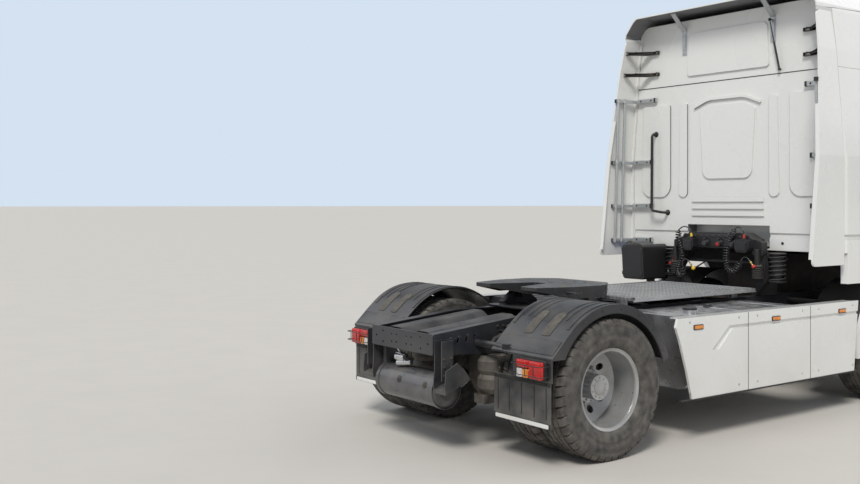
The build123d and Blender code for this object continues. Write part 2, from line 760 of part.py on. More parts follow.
def box_left():
    """Exhaust treatment box on the left, its outlet facing in and down."""
    low, high = SKIRT_BOTTOM + 50, SKIRT_TOP - 12
    box = front_prism(
        [
            (SIDE_TANK_INNER, low, 40), (SIDE_TANK_OUTER, low, 60), (SIDE_TANK_OUTER, high, 60),
            (SIDE_TANK_INNER, high, 40),
        ],
        LEFT_BOX_FRONT, LEFT_BOX_FRONT + LEFT_BOX_LENGTH,
    )
    outlet = (760, LEFT_BOX_FRONT + LEFT_BOX_LENGTH / 2)
    box += rod((*outlet, low + 8), (*outlet, low - 60), 56)
    for y in (LEFT_BOX_FRONT + 120, LEFT_BOX_FRONT + LEFT_BOX_LENGTH - 120):
        box += block((RAIL_OUTER, SIDE_TANK_INNER + 4), (y - 35, y + 35), (low + 150, RAIL_TOP - 60))
    return box


def battery_box():
    """Battery tray and ribbed lid on the left, ahead of the rear wheels."""
    low, high = SKIRT_BOTTOM + 90, SKIRT_TOP - 30
    y0, y1 = LEFT_BOX_FRONT + LEFT_BOX_LENGTH + 30, SKIRT_REAR - 230
    box = block((SIDE_TANK_INNER, SIDE_TANK_OUTER), (y0, y1), (low, high))
    lid = block((SIDE_TANK_INNER - 6, SIDE_TANK_OUTER + 4), (y0 - 6, y1 + 6), (high - 120, high + 14))
    box += lid
    for k in range(5):
        x = SIDE_TANK_INNER + 90 + k * 130
        box -= block((x, x + 50), (y0 + 60, y1 - 60), (high + 6, high + 20))
    for y in (y0 + 120, y1 - 130):
        box += block((RAIL_OUTER, SIDE_TANK_INNER + 4), (y - 35, y + 35), (low + 100, RAIL_TOP - 60))
    return box


def skirt():
    """Left side skirt from the front wheel to the rear one, with a swept upper groove."""
    front_y = FRONT_AXLE + FRONT_ARCH + 18
    outer = [
        (front_y + 40, SKIRT_BOTTOM), (SKIRT_REAR - 190, SKIRT_BOTTOM), (SKIRT_REAR - 128, 560),
        (SKIRT_REAR - 46, 800), (SKIRT_REAR, 900), (SKIRT_REAR - 24, SKIRT_TOP), (front_y - 30, SKIRT_TOP),
    ]
    panel = side_prism(outer, HALF_WIDTH - SKIRT_SKIN, HALF_WIDTH)
    groove = [
        (front_y - 60, 846), (SKIRT_REAR - 680, 846), (SKIRT_REAR - 510, 700), (SKIRT_REAR - 430, 700),
        (SKIRT_REAR - 640, 872), (front_y - 60, 872),
    ]
    panel -= side_prism(groove, HALF_WIDTH - 12, HALF_WIDTH + 5)
    panel -= across(HALF_WIDTH - 60, HALF_WIDTH + 5, FRONT_AXLE, TYRE_RADIUS, FRONT_ARCH)
    top = block(
        (HALF_WIDTH - 110, HALF_WIDTH - SKIRT_SKIN + 1), (front_y + 40, SKIRT_REAR - 60),
        (SKIRT_TOP - 8, SKIRT_TOP),
    )
    panel += top
    for y in (CAB_BACK + 125, CAB_BACK + 1005, SKIRT_REAR - 320):
        panel += block(
            (SIDE_TANK_OUTER, HALF_WIDTH - SKIRT_SKIN + 1), (y - 30, y + 30),
            (SKIRT_BOTTOM + 120, SKIRT_BOTTOM + 160),
        )
    return panel


# Power train

def engine():
    """Plain block at the engine's place."""
    return block((-290, 290), (FRONT + 545, FRONT + 1850), (570, 1330))


def gearbox():
    """Gear case that tapers to its output flange."""
    y0, y1 = FRONT + 1850, FRONT + 2640
    body = plan_prism(
        [(-240, y0), (240, y0), (200, y0 + 330), (150, y1), (-150, y1), (-200, y0 + 330)], 560, 930,
    )
    return body


def prop_shaft():
    """Shaft from the gear case to the axle's pinion."""
    a = (0, FRONT + 2640, 700)
    b = (0, REAR_AXLE - 300, TYRE_RADIUS + 20)
    return rod(a, b, 55)


def radiator():
    """Cooling pack behind the front panel."""
    y = RAIL_FRONT + 95
    pack = block((-310, 310), (y, y + 120), (620, 1330))
    for k in range(9):
        z = 660 + k * 70
        pack -= block((-285, 285), (y - 1, y + 6), (z, z + 40))
    return pack


# Bumper and steps

def bumper_plan(inset):
    """Half-round plan of the bumper and lamps, front edge first."""
    half = HALF_WIDTH - inset
    return [
        (-half, BUMPER_BACK, 0), (-half, FRONT + 310 + inset * 0.3, 150),
        (-half + 250, FRONT + 46 + inset, 200), (-420, FRONT + inset, 300),
        (420, FRONT + inset, 300), (half - 250, FRONT + 46 + inset, 200),
        (half, FRONT + 310 + inset * 0.3, 150), (half, BUMPER_BACK, 0),
    ]


def bumper():
    """Bumper skin with an air intake, lamp pockets left out and a lower lip."""
    skin = plan_prism(bumper_plan(0), BUMPER_LOW, BUMPER_TOP)
    skin -= plan_prism(bumper_plan(BUMPER_SKIN), BUMPER_LOW - 5, BUMPER_TOP + 5) + block(
        (-HALF_WIDTH + BUMPER_SKIN, HALF_WIDTH - BUMPER_SKIN), (BUMPER_BACK - 5, BUMPER_BACK + 5), (0, 2000)
    )
    upper = block((620, HALF_WIDTH + 5), (FRONT - 5, BUMPER_BACK + 5), (640, BUMPER_TOP + 5))
    skin = skin - upper - flip(upper)
    intake = front_prism(
        [(-500, 470, 30), (500, 470, 30), (560, 610, 30), (-560, 610, 30)], FRONT - 20, FRONT + 200,
    )
    upper_intake = front_prism(
        [(-560, 660, 30), (560, 660, 30), (575, 820, 30), (-575, 820, 30)], FRONT - 20, FRONT + 200,
    )
    fog = rod(
        (FOG_X, FRONT - 20, FOG_Z), (FOG_X, FRONT + 300, FOG_Z), FOG_RADIUS,
    ) - plan_prism(bumper_plan(16), 300, 800)
    skin = skin - fog - flip(fog)
    skin = skin - intake - upper_intake
    for z in (700, 740, 780):
        skin += plan_prism(bumper_plan(8), z, z + 12) & block((-600, 600), (FRONT, FRONT + 30), (z, z + 12))
    beam = block((-560, 560), (FRONT + 60, FRONT + 130), (500, 600))
    for side_x in (-1, 1):
        x0, x1 = sorted((side_x * 340, side_x * 395))
        beam += block((x0, x1), (FRONT + 60, RAIL_FRONT), (560, 780))
    for side_x in (-1, 1):
        x0, x1 = sorted((side_x * 520, side_x * 620))
        beam += block((x0, x1), (FRONT + 28, FRONT + 130), (500, 600))
    return skin + beam


def lamp_window(inset):
    """Front view of the opening for the left headlamp, drawn in by inset."""
    g = inset
    corners = [
        (800 + g, 690 + g, 30), (1180 - g, 700 + g, 30), (1235 - g, 950 - g, 30),
        (1010 + g / 2, 1000 - g, 40),
        (830 + g, 850 - g / 2, 40),
    ]
    return front_prism(corners, FRONT - 20, FRONT + 330 - g)


def lamp_unit():
    """Left corner unit that carries the headlamp, above the bumper's end."""
    outer = plan_prism(bumper_plan(0), 640 + 6, LAMP_UNIT_TOP)
    outer &= block((624, HALF_WIDTH + 5), (FRONT - 5, FRONT + 440), (600, 1200))
    inner = plan_prism(bumper_plan(26), 640, LAMP_UNIT_TOP + 5) & block(
        (600, HALF_WIDTH), (FRONT - 5, FRONT + 460), (600, 1200),
    )
    unit = outer - inner
    unit -= lamp_window(0)
    arm = block((RAIL_OUTER, 655), (FRONT + 250, FRONT + 330), (700, 780))
    arm += block((632, 655), (FRONT, FRONT + 330), (700, 780)) & plan_prism(bumper_plan(4), 690, 790)
    return unit + arm


def headlamp():
    """Left clear lens and reflector body, wrapped round the corner."""
    ring = plan_prism(bumper_plan(6), 640, 1100) - plan_prism(bumper_plan(60), 630, 1110)
    return ring & lamp_window(TOUCH)


def steps():
    """Left entry: a riser on its bracket, with three treads against it, between the bumper and the wheel."""
    y0, y1 = FRONT + 454, FRONT_AXLE - FRONT_ARCH - 60
    foot, back = HALF_WIDTH - 330, HALF_WIDTH - 300
    riser = block((foot, back), (y0, y1), (BUMPER_LOW + 40, 1080))
    riser += block((RAIL_OUTER, foot + 10), (y0 + 40, y0 + 100), (760, 840))
    treads = []
    for z, out in ((BUMPER_LOW + 40, HALF_WIDTH - 24), (700, HALF_WIDTH - 120), (1040, HALF_WIDTH - 120)):
        treads.append(block((back, out), (y0, y1), (z, z + 34)))
    return group(riser, *treads)


def front_guard():
    """Left front wheel arch: a liner from step to skirt, with a white lip behind the wheel's middle."""
    y, z = FRONT_AXLE, TYRE_RADIUS

    def ring(r0, r1, x0, x1):
        return across(x0, x1, y, z, r1) - across(x0 - 1, x1 + 1, y, z, r0)

    part = ring(GUARD_INNER, GUARD_INNER + 9, 720, HALF_WIDTH - 6)
    lip = ring(GUARD_INNER, FRONT_ARCH - 12, HALF_WIDTH - 40, HALF_WIDTH - 6)
    part += lip & block((0, HALF_WIDTH), (y + 40, y + 900), (0, 2000))
    part -= block((600, HALF_WIDTH + 20), (y - 900, y + 900), (-300, GUARD_FOOT))
    for reach, height in ((-420, 950), (460, 900)):
        part += across(RAIL_OUTER, 760, y + reach, height, 22)
    return part


# Cab mounts and portal

def cab_mount():
    """Left front bracket on the rail with the ear that carries the tilt pin."""
    x0, x1 = RAIL_OUTER - 60, RAIL_OUTER - 12
    arm = side_prism(
        [
            (TILT_Y - 14, TILT_Z - 30), (RAIL_FRONT, RAIL_TOP), (RAIL_FRONT + 190, RAIL_TOP),
            (TILT_Y + 24, TILT_Z + 22),
        ],
        x0, x1,
    )
    arm += across(x0, x1, TILT_Y, TILT_Z, 36)
    return arm + across(x1 - 4, x1 + 54, TILT_Y, TILT_Z, 18)


def cab_hinge():
    """Left cab leg that turns on the tilt pin."""
    x0, x1 = RAIL_OUTER - 8, RAIL_OUTER + 38
    leg = side_prism(
        [
            (TILT_Y - 34, TILT_Z - 30, 28), (TILT_Y + 34, TILT_Z - 30, 28), (TILT_Y + 320, FLOOR_LOW - 110),
            (TILT_Y + 320, FLOOR_LOW), (TILT_Y + 90, FLOOR_LOW), (TILT_Y - 34, TILT_Z + 60),
        ],
        x0, x1,
    )
    return leg - across(x0 - 1, x1 + 1, TILT_Y, TILT_Z, 18 + RUNNING)


def portal(on_portal):
    """Black arch over the rails that catches the cab's back, with its ribbed beam, pods and cross tube."""
    low, high = 1402.0, 1552.0
    beam = front_prism(
        [
            (-430, low + 20), (-360, low), (360, low), (430, low + 20), (430, high - 60), (300, high, 40),
            (-300, high, 40), (-430, high - 60),
        ],
        PORTAL_BACK - 170, PORTAL_BACK,
    )
    for k in range(3):
        x = -50 + k * 88
        beam -= front_prism(
            [(x - 30, low + 38), (x - 4, low + 38), (x + 24, low + 74), (x - 4, low + 74)],
            PORTAL_BACK - 20, PORTAL_BACK + 5,
        )
    for x, half in PODS:
        beam += front_prism(
            [
                (x - half + 24, 1372), (x + half - 24, 1372), (x + half, 1410), (x + half, POD_TOP),
                (x - half, POD_TOP), (x - half, 1410),
            ],
            PORTAL_BACK - 60, PORTAL_BACK + 82,
        )
    leg = front_prism(
        [
            (RAIL_OUTER - 40, RAIL_TOP), (RAIL_OUTER, RAIL_TOP), (RAIL_OUTER + 190, 1180),
            (RAIL_OUTER + 60, 1430), (RAIL_OUTER - 60, 1430), (RAIL_OUTER + 100, 1180),
        ],
        PORTAL_BACK - 150, PORTAL_BACK - 70,
    )
    beam += leg + flip(leg) + across(-480, 480, PORTAL_BACK - 105, CROSS_TUBE_Z, 14)
    for line in AIR_LINES:
        before, last = line_points(line["end"][-2:])
        parked = last + (last - before).normalized() * (PLUG_LENGTH - 8)
        beam += rod((parked.X, PORTAL_BACK - 105, CROSS_TUBE_Z), tuple(parked), 7)
        mouth = line_points(line["start"])[0]
        beam += rod((mouth.X, mouth.Y, POD_TOP - 2), tuple(mouth), 13)
    for piece in on_portal:
        beam -= piece
    return beam


def cab_strut():
    """Left air spring with damper between the portal leg and the cab's back corner."""
    x, y = RAIL_OUTER + 215, PORTAL_Y + 190
    strut = rod(
        (x, y, 1092), (x, y, 1180), 44,
    ) + rod((x, y, 1180), (x, y, 1330), 62) + rod((x, y, 1330), (x, y, 1372), 52)
    return strut + block((RAIL_OUTER + 110, x + 30), (y - 20, y + 20), (1120, 1164))


# Cab


def cab_plan(inset, low, high):
    """The cab's rounded plan, drawn in by inset and carried from low to high."""
    half, front, back = HALF_WIDTH - inset, CAB_FRONT + inset, CAB_BACK - inset
    side_radius, nose_radius = 260, 600
    return plan_prism(
        [
            (-half, back, 60 - inset * 0.5), (-half, front + 400, side_radius),
            (-half + 190, front + 62, 240),
            (-380, front, nose_radius), (380, front, nose_radius), (half - 190, front + 62, 240),
            (half, front + 400, side_radius), (half, back, 60 - inset * 0.5),
        ],
        low, high,
    )


def cab_volume(inset, low, high):
    """The cab's rounded envelope, drawn in by inset on every side but its ends in height."""
    half, front, back = HALF_WIDTH - inset, CAB_FRONT + inset, CAB_BACK - inset
    plan = cab_plan(inset, low, high)
    top = ROOF_REAR - inset
    shift = inset * 0.9
    side = side_prism(
        [
            (back + 1, 0), (front - 50, 0), (front - 50, SCREEN_LOW - 40), (front + 2, SCREEN_LOW - 20),
            (front + SCREEN_RAKE, SCREEN_TOP), (front + SCREEN_RAKE + 22, SCREEN_TOP + 90),
            (front + 470 + shift, top - 160, 300), (front + 980, top, 300), (back + 1, top),
        ],
        -half - 5, half + 5,
    )
    lean = half - LEAN
    crown = top + 4
    front_view = front_prism(
        [
            (-half, 0), (half, 0), (half, SIDE_LEAN_START), (lean, CAB_SEAM + 150, 200),
            (lean - 60, crown, ROOF_CORNER),
            (-lean + 60, crown, ROOF_CORNER), (-lean, CAB_SEAM + 150, 200), (-half, SIDE_LEAN_START),
        ],
        front - 60, back + 10,
    )
    return plan & side & front_view


def door_outline(grow):
    """Side view of the door: skirt low, arch cut, raked window post."""
    g = grow
    return [
        (DOOR_FRONT - g, DOOR_LOW - g), (FRONT_AXLE - 620 + g, DOOR_LOW - g), (FRONT_AXLE - 470 + g, 1000),
        (FRONT_AXLE - 330 + g, CAB_LOW + 50 - g),
        (DOOR_REAR + g, CAB_LOW + 86 - g, 30), (DOOR_REAR + g, DOOR_TOP + g, 60),
        (DOOR_FRONT + 190 - g, DOOR_TOP + g, 60), (DOOR_FRONT - g, SILL_FRONT + 60, 200),
    ]


def window_outline(grow):
    """Side view of the door's glass, with its sill falling to the front."""
    g = grow
    return [
        (DOOR_FRONT + 90 - g, SILL_FRONT - g, 50), (DOOR_REAR - 90 + g, SILL_REAR - g, 60),
        (DOOR_REAR - 90 + g, DOOR_TOP - 90 + g, 80),
        (DOOR_FRONT + 240 - g, DOOR_TOP - 90 + g, 60), (DOOR_FRONT + 90 - g, SILL_FRONT + 130, 80),
    ]


def screen_outline(inset):
    """Front view of the windscreen, drawn in by inset."""
    g = inset
    low, high = SCREEN_LOW + g, SCREEN_TOP - 60 - g
    return [(-1010 + g, low, 60), (1010 - g, low, 60), (990 - g, high, 60), (-990 + g, high, 60)]


def swage(low, deep):
    """A band round the cab just inside its skin, to be taken out as a groove."""
    return cab_volume(-5, low, low + 44) - cab_volume(deep, low - 5, low + 60)


def back_wall_pressing():
    """Shallow panels pressed out of the cab's back wall."""
    y0, y1 = CAB_BACK - 4, CAB_BACK + PRESSING
    brow = CAB_SEAM - 290
    centre = front_prism(
        [
            (-285, 2080, 90), (285, 2080, 90), (326, brow, 40), (190, brow + 52, 260),
            (-190, brow + 52, 260), (-326, brow, 40),
        ],
        y0, y1,
    )
    ridge = front_prism(
        [
            (-392, brow + 30, 6), (-212, brow + 102, 260), (212, brow + 102, 260), (392, brow + 30, 6),
            (392, brow + 56, 6), (216, brow + 130, 260), (-216, brow + 130, 260), (-392, brow + 56, 6),
        ],
        y0, y1 + 6,
    )
    made = centre + ridge
    for z in (1710, 1780, 1850):
        made += block((-420, 420), (y0, y1), (z, z + 34))
    for x0, x1, foot in ((480, 590, 50), (700, 1080, 120)):
        panel = front_prism(
            [(x0, 1900, foot), (x1, 1900, foot), (x1 - 20, CAB_SEAM - 190, 30), (x0, CAB_SEAM - 190, 30)],
            y0, y1,
        )
        made += panel + flip(panel)
    upper = front_prism(
        [
            (-480, CAB_SEAM + 80, 30), (480, CAB_SEAM + 80, 30), (460, ROOF_REAR - 140, 60),
            (-460, ROOF_REAR - 140, 60),
        ],
        y0, y1,
    )
    return made, upper


def door_hinge(z):
    """Two knuckles, the pin between them and their strap on the left front pillar."""
    x, y = HINGE_X, HINGE_Y
    strap = [(x - 8, y), (x - 30, DOOR_FRONT - 26), (x - 14, DOOR_FRONT - 26), (x + 8, y)]
    leaf = rod((x, y, z - 45), (x, y, z + 45), HINGE_PIN)
    for low in (z - 45, z + 17):
        leaf += plan_prism(strap, low, low + 28) + rod((x, y, low), (x, y, low + 28), 8)
    return leaf


def door_knuckle(z):
    """What the left door loses and gains at one hinge: room for the pillar's part, and a bored knuckle."""
    x, y = HINGE_X, HINGE_Y
    room = block(
        (x - 40, x + 40), (DOOR_FRONT - 10, y), (z - 50, z + 50),
    ) + rod((x, y, z - 50), (x, y, z + 50), 13)
    bore = rod((x, y, z - 20), (x, y, z + 20), HINGE_PIN + RUNNING)
    knuckle = rod((x, y, z - 16), (x, y, z + 16), 8) + block((x - 30, x - 4), (y, y + 20), (z - 16, z + 16))
    return room, knuckle - bore


def lid_hinge(x):
    """Ear and pin on the wall behind the front lid."""
    y, z = CAB_FRONT + HATCH_SKIN / 2, HATCH_TOP - LID_PIVOT_DROP
    ear = across(x - 15, x + 15, y, z, 9)
    ear += block((x - 15, x + 15), (y, CAB_FRONT + HATCH_SKIN + PANEL_GAP + 4), (z - 9, z + 9))
    return ear + across(x - 32, x + 32, y, z, LID_PIN)


def lid_pocket(x):
    """Room in the lid for the ear and its pin."""
    y, z = CAB_FRONT + HATCH_SKIN / 2, HATCH_TOP - LID_PIVOT_DROP
    room = block((x - 20, x + 20), (y - 10, y + 30), (z - 14, HATCH_TOP))
    return room + across(x - 33, x + 33, y, z, LID_PIN + RUNNING)


def cab_parts():
    """The cab's shell, roof, doors, lid, glass and screen cut from one envelope."""
    outer = cab_volume(0, CAB_LOW, ROOF_REAR + 10)
    room = cab_volume(CAB_WALL, FLOOR_TOP, ROOF_REAR - 30)
    bay = cab_volume(CAB_WALL, CAB_LOW - 5, FLOOR_LOW)
    shell = outer - room - bay
    shell -= swage(SWAGE_Z, 12)
    seam = block((-2000, 2000), (FRONT - 50, 0), (CAB_SEAM, 4000))
    roof = shell & seam
    shell -= block((-2000, 2000), (FRONT - 50, 0), (CAB_SEAM - 2, 4000))
    pressing, upper = back_wall_pressing()
    shell += pressing
    roof += upper
    arch_cut = front_prism(
        [
            (-420, CAB_LOW - 10), (420, CAB_LOW - 10), (420, 1520), (352, 1614, 40), (-352, 1614, 40),
            (-420, 1520),
        ],
        CAB_BACK - CAB_WALL - 2, CAB_BACK + 20,
    )
    low_back = block(
        (-HALF_WIDTH - 5, HALF_WIDTH + 5), (CAB_BACK - CAB_WALL - 2, CAB_BACK + 20), (CAB_LOW - 10, 1390),
    )
    shell = shell - low_back
    floor_box = block((-520, 520), (CAB_BACK - 140, CAB_BACK + 20), (FLOOR_LOW - 10, 1620))
    lowered = arch_cut & block((-2000, 2000), (CAB_BACK - CAB_WALL - 2, CAB_BACK + 20), (0, 1620))
    shell = shell - lowered
    tunnel = block((-520, 520), (CAB_BACK - 180, CAB_BACK - CAB_WALL + 1), (FLOOR_TOP - 2, 1660))
    inner_tunnel = block((-480, 480), (CAB_BACK - 140, CAB_BACK + 1), (FLOOR_LOW - 10, 1622))
    shell += (tunnel & cab_volume(CAB_WALL - 1, FLOOR_TOP - 2, 2000))
    shell -= inner_tunnel
    shell -= floor_box & block((-480, 480), (CAB_BACK - 140, CAB_BACK), (FLOOR_LOW - 10, 1622))
    for side_x in (1, -1):
        x0, x1 = sorted((side_x * (HALF_WIDTH - 420), side_x * (HALF_WIDTH + 10)))
        shell -= across(x0, x1, FRONT_AXLE, TYRE_RADIUS, FRONT_ARCH + 14)
        x0, x1 = sorted((side_x * (HALF_WIDTH - DOOR_SKIN - LEAN - 30), side_x * (HALF_WIDTH + 10)))
        shell -= side_prism(door_outline(PANEL_GAP), x0, x1)
        shell -= block(
            (x0, x1), (DOOR_FRONT - PANEL_GAP, DOOR_REAR + PANEL_GAP), (CAB_LOW - 10, CAB_LOW + 90),
        )
    screen_hole = front_prism(
        screen_outline(0), FRONT - 20, CAB_FRONT + 420,
    )
    screen = (
        cab_volume(8, SCREEN_LOW - 60, SCREEN_TOP) - cab_volume(8 + GLASS, SCREEN_LOW - 80, SCREEN_TOP + 20)
    ) & front_prism(screen_outline(TOUCH), FRONT - 20, CAB_FRONT + 420)
    shell -= screen_hole
    low, wide = CAB_LOW + 70, HATCH_HALF
    hatch_hole = front_prism(
        [(-wide, low, 40), (wide, low, 40), (wide, HATCH_TOP, 50), (-wide, HATCH_TOP, 50)], FRONT - 20,
        CAB_FRONT + 300,
    )
    low, wide, top = low + PANEL_GAP, wide - PANEL_GAP, HATCH_TOP - HATCH_TOP_GAP
    hatch_face = front_prism(
        [(-wide, low, 32), (wide, low, 32), (wide, top, 42), (-wide, top, 42)], FRONT - 20, CAB_FRONT + 300,
    )
    band = cab_volume(-1, CAB_LOW, HATCH_TOP + 20) - cab_volume(
        HATCH_SKIN + PANEL_GAP, CAB_LOW - 5, HATCH_TOP + 30,
    )
    shell -= hatch_hole & band
    hatch = (
        cab_volume(0, CAB_LOW, HATCH_TOP + 10) - cab_volume(HATCH_SKIN, CAB_LOW - 5, HATCH_TOP + 20)
    ) & hatch_face
    skin = cab_volume(-5, CAB_LOW, HATCH_TOP + 10) - cab_volume(GRILLE_DEPTH, CAB_LOW - 5, HATCH_TOP + 20)
    for low, high, half in GRILLE_SLOTS:
        slot = front_prism(
            [(-half + 26, low, 12), (half - 26, low, 12), (half, high, 12), (-half, high, 12)], FRONT - 20,
            CAB_FRONT + 300,
        )
        hatch -= slot & skin
    for x in (-LID_HINGE_X, LID_HINGE_X):
        shell += lid_hinge(x)
        hatch -= lid_pocket(x)
    for z in HINGE_LEVELS:
        shell += door_hinge(z)
        shell += flip(door_hinge(z))
    doors, glass = [], []
    wall = cab_volume(0, DOOR_LOW - 5, ROOF_REAR) - cab_volume(DOOR_SKIN, DOOR_LOW - 20, ROOF_REAR)
    wall -= swage(SWAGE_Z, 12)
    for side_x in (1, -1):
        x0, x1 = sorted((side_x * 900, side_x * (HALF_WIDTH + 10)))
        leaf = wall & side_prism(door_outline(0), x0, x1)
        leaf -= side_prism(window_outline(0), x0, x1)
        leaf -= across(x0, x1, FRONT_AXLE, TYRE_RADIUS, FRONT_ARCH + 8)
        edge = plan_prism(
            [(HALF_WIDTH + 20, DOOR_FRONT - 10), (HINGE_X - 3, DOOR_FRONT - 10), (HINGE_X - 3, DOOR_FRONT),
             (HINGE_X - 3 + 12, DOOR_FRONT + DOOR_CHAMFER), (HALF_WIDTH + 20, DOOR_FRONT + DOOR_CHAMFER)],
            DOOR_LOW - 10, SILL_FRONT,
        )
        leaf -= edge if side_x > 0 else flip(edge)
        post = plan_prism(
            [
                (HALF_WIDTH + 20, DOOR_FRONT - 10), (HINGE_X - 8, DOOR_FRONT - 10),
                (HINGE_X - 8, DOOR_FRONT + 22), (HALF_WIDTH + 20, DOOR_FRONT + 50),
            ],
            SILL_FRONT - 10, SILL_FRONT + 200,
        )
        leaf -= post if side_x > 0 else flip(post)
        for z in HINGE_LEVELS:
            room, knuckle = door_knuckle(z)
            leaf -= room if side_x > 0 else flip(room)
            leaf += knuckle if side_x > 0 else flip(knuckle)
        pane = (
            cab_volume(20, 2000, 3000) - cab_volume(20 + GLASS, 1990, 3010)
        ) & side_prism(window_outline(-TOUCH), x0, x1)
        doors.append(leaf)
        glass.append(pane)
    return shell, roof, doors, glass, screen, hatch


def door_handle():
    """Left pull handle: a grip on two feet against the door skin."""
    y0, y1 = DOOR_REAR - 300, DOOR_REAR - 110
    low, high = GRIP_Z, GRIP_Z + GRIP_HEIGHT
    x = HALF_WIDTH + GRIP_GAP
    grip = side_prism([(y0, low, 12), (y1, low, 12), (y1, high, 12), (y0, high, 12)], x, x + GRIP_PLATE)
    feet = []
    for y in (y0 + 6, y1 - 6 - GRIP_FOOT):
        feet.append(block((HALF_WIDTH, x), (y, y + GRIP_FOOT), (low + 4, high - 4)))
    return group(grip, *feet)


def mirror_unit():
    """Left mirror housing with its two arms on the door's front corner."""
    x0, y0, low, high = HALF_WIDTH + 90, DOOR_FRONT - 60, 2300.0, 2960.0
    head = plan_prism(
        [(x0, y0, 50), (x0 + 180, y0 + 20, 50), (x0 + 180, y0 + 110, 30), (x0, y0 + 140, 30)], low, high,
    )
    foot = (x0 + 50, y0 + 70)
    arm = rod((HALF_WIDTH - 30, DOOR_FRONT + 70, low - 150), (*foot, low - 60), 26)
    arm += rod((*foot, low - 66), (*foot, low + 10), 26)
    arm += rod((HALF_WIDTH - 75, DOOR_FRONT + 250, high - 130), (*foot, high - 40), 18)
    split = low + 212
    core = plan_prism(
        [(x0 + 12, y0 + 12, 40), (x0 + 168, y0 + 32, 40), (x0 + 168, y0 + 98, 20), (x0 + 12, y0 + 128, 20)],
        split - 2, split + 12,
    )
    head -= block((x0 - 50, x0 + 230), (y0 - 50, y0 + 200), (split, split + 10)) - core
    for z0, z1 in ((low + 26, split - 26), (split + 36, high - 34)):
        head -= front_prism(
            [(x0 + 20, z0, 24), (x0 + 160, z0, 24), (x0 + 160, z1, 24), (x0 + 20, z1, 24)], y0 + 104,
            y0 + 200,
        )
    return head + arm - cab_volume(-TOUCH, 2000, 3000)


def fairing():
    """Left side deflector behind the cab: a tall thin panel that leans in towards its top."""
    lean_top = HALF_WIDTH - LEAN - 30
    panel = side_prism(
        [
            (CAB_BACK + 6, FAIRING_LOW), (FAIRING_REAR_LOW, FAIRING_LOW, 40),
            (FAIRING_REAR_TOP, FAIRING_TOP, 60), (CAB_BACK + 6, FAIRING_TOP),
        ],
        HALF_WIDTH - 260, HALF_WIDTH + 5,
    )
    skin = front_prism(
        [
            (HALF_WIDTH, FAIRING_LOW), (HALF_WIDTH, SIDE_LEAN_START),
            (HALF_WIDTH - LEAN, CAB_SEAM + 150, 200), (HALF_WIDTH - LEAN - 50, FAIRING_TOP),
            (HALF_WIDTH - LEAN - 50 - FAIRING_SKIN, FAIRING_TOP),
            (HALF_WIDTH - LEAN - FAIRING_SKIN, CAB_SEAM + 150, 200),
            (HALF_WIDTH - FAIRING_SKIN, SIDE_LEAN_START), (HALF_WIDTH - FAIRING_SKIN, FAIRING_LOW),
        ],
        CAB_BACK, 0,
    )
    piece = panel & skin
    flange = side_prism(
        [
            (CAB_BACK + 6, FAIRING_LOW + 20), (CAB_BACK + 20, FAIRING_LOW + 20),
            (CAB_BACK + 20, FAIRING_TOP - 20), (CAB_BACK + 6, FAIRING_TOP - 20),
        ],
        lean_top - 60, HALF_WIDTH,
    )
    inner = front_prism(
        [
            (HALF_WIDTH - 4, FAIRING_LOW), (HALF_WIDTH - 4, SIDE_LEAN_START),
            (HALF_WIDTH - LEAN - 4, CAB_SEAM + 150, 200), (HALF_WIDTH - LEAN - 54, FAIRING_TOP),
            (HALF_WIDTH - LEAN - 94, FAIRING_TOP), (HALF_WIDTH - LEAN - 44, CAB_SEAM + 150, 200),
            (HALF_WIDTH - 44, SIDE_LEAN_START), (HALF_WIDTH - 44, FAIRING_LOW),
        ],
        CAB_BACK, 0,
    )
    slope = (FAIRING_REAR_LOW - FAIRING_REAR_TOP) / (FAIRING_TOP - FAIRING_LOW)
    flange_top = CAB_SEAM - 350
    edge_top = FAIRING_REAR_LOW - (flange_top - FAIRING_LOW) * slope
    edge_low = FAIRING_REAR_LOW - 60 * slope
    rear = side_prism(
        [
            (edge_low - 8, FAIRING_LOW + 60), (edge_low, FAIRING_LOW + 60), (edge_top, flange_top),
            (edge_top - 8, flange_top),
        ],
        lean_top - 60, HALF_WIDTH,
    )
    return piece + (flange & inner) + (rear & inner)


def fairing_frame():
    """Left steel arms, and two tubes let into them, that hold the side deflector off the back wall."""
    tubes = []
    for y in (CAB_BACK + 210, CAB_BACK + 300):
        drop = (y - CAB_BACK) / 330 * 34
        low = (HALF_WIDTH - 70 + drop, y, ARM_LEVELS[0] - 10)
        high = (HALF_WIDTH - 122 + drop, y, ARM_LEVELS[-1] + 30)
        tubes.append(rod(low, high, 15))
    inner = HALF_WIDTH - FAIRING_SKIN
    foot = CAB_BACK + PRESSING
    arms = []
    for z in ARM_LEVELS:
        lean = max(0.0, (z + 30 - SIDE_LEAN_START) / (CAB_SEAM + 150 - SIDE_LEAN_START)) * LEAN
        x_out = inner - lean - TOUCH
        arm = block((x_out - 300, x_out - 40), (foot, foot + 28), (z, z + 40))
        arm += plan_prism(
            [(x_out - 60, foot), (x_out - 34, foot), (x_out, CAB_BACK + 330), (x_out - 26, CAB_BACK + 330)],
            z, z + 30,
        )
        arms.append(arm - tubes[0] - tubes[1])
    return group(*arms, *tubes)


def grab_rail():
    """Black handle on the left of the back wall, with room for a hand behind it."""
    x, y = GRAB_X, CAB_BACK + GRAB_REACH
    path = FilletPolyline(
        (x, CAB_BACK + PRESSING, 2560), (x, y, 2560), (x + 6, y, 1760), (x - 150, y, 1740),
        (x - 150, CAB_BACK, 1740),
        radius=[36, 36, 36],
    )
    return sweep(Plane(origin=path @ 0, z_dir=path % 0) * Circle(GRAB_ROD), path)


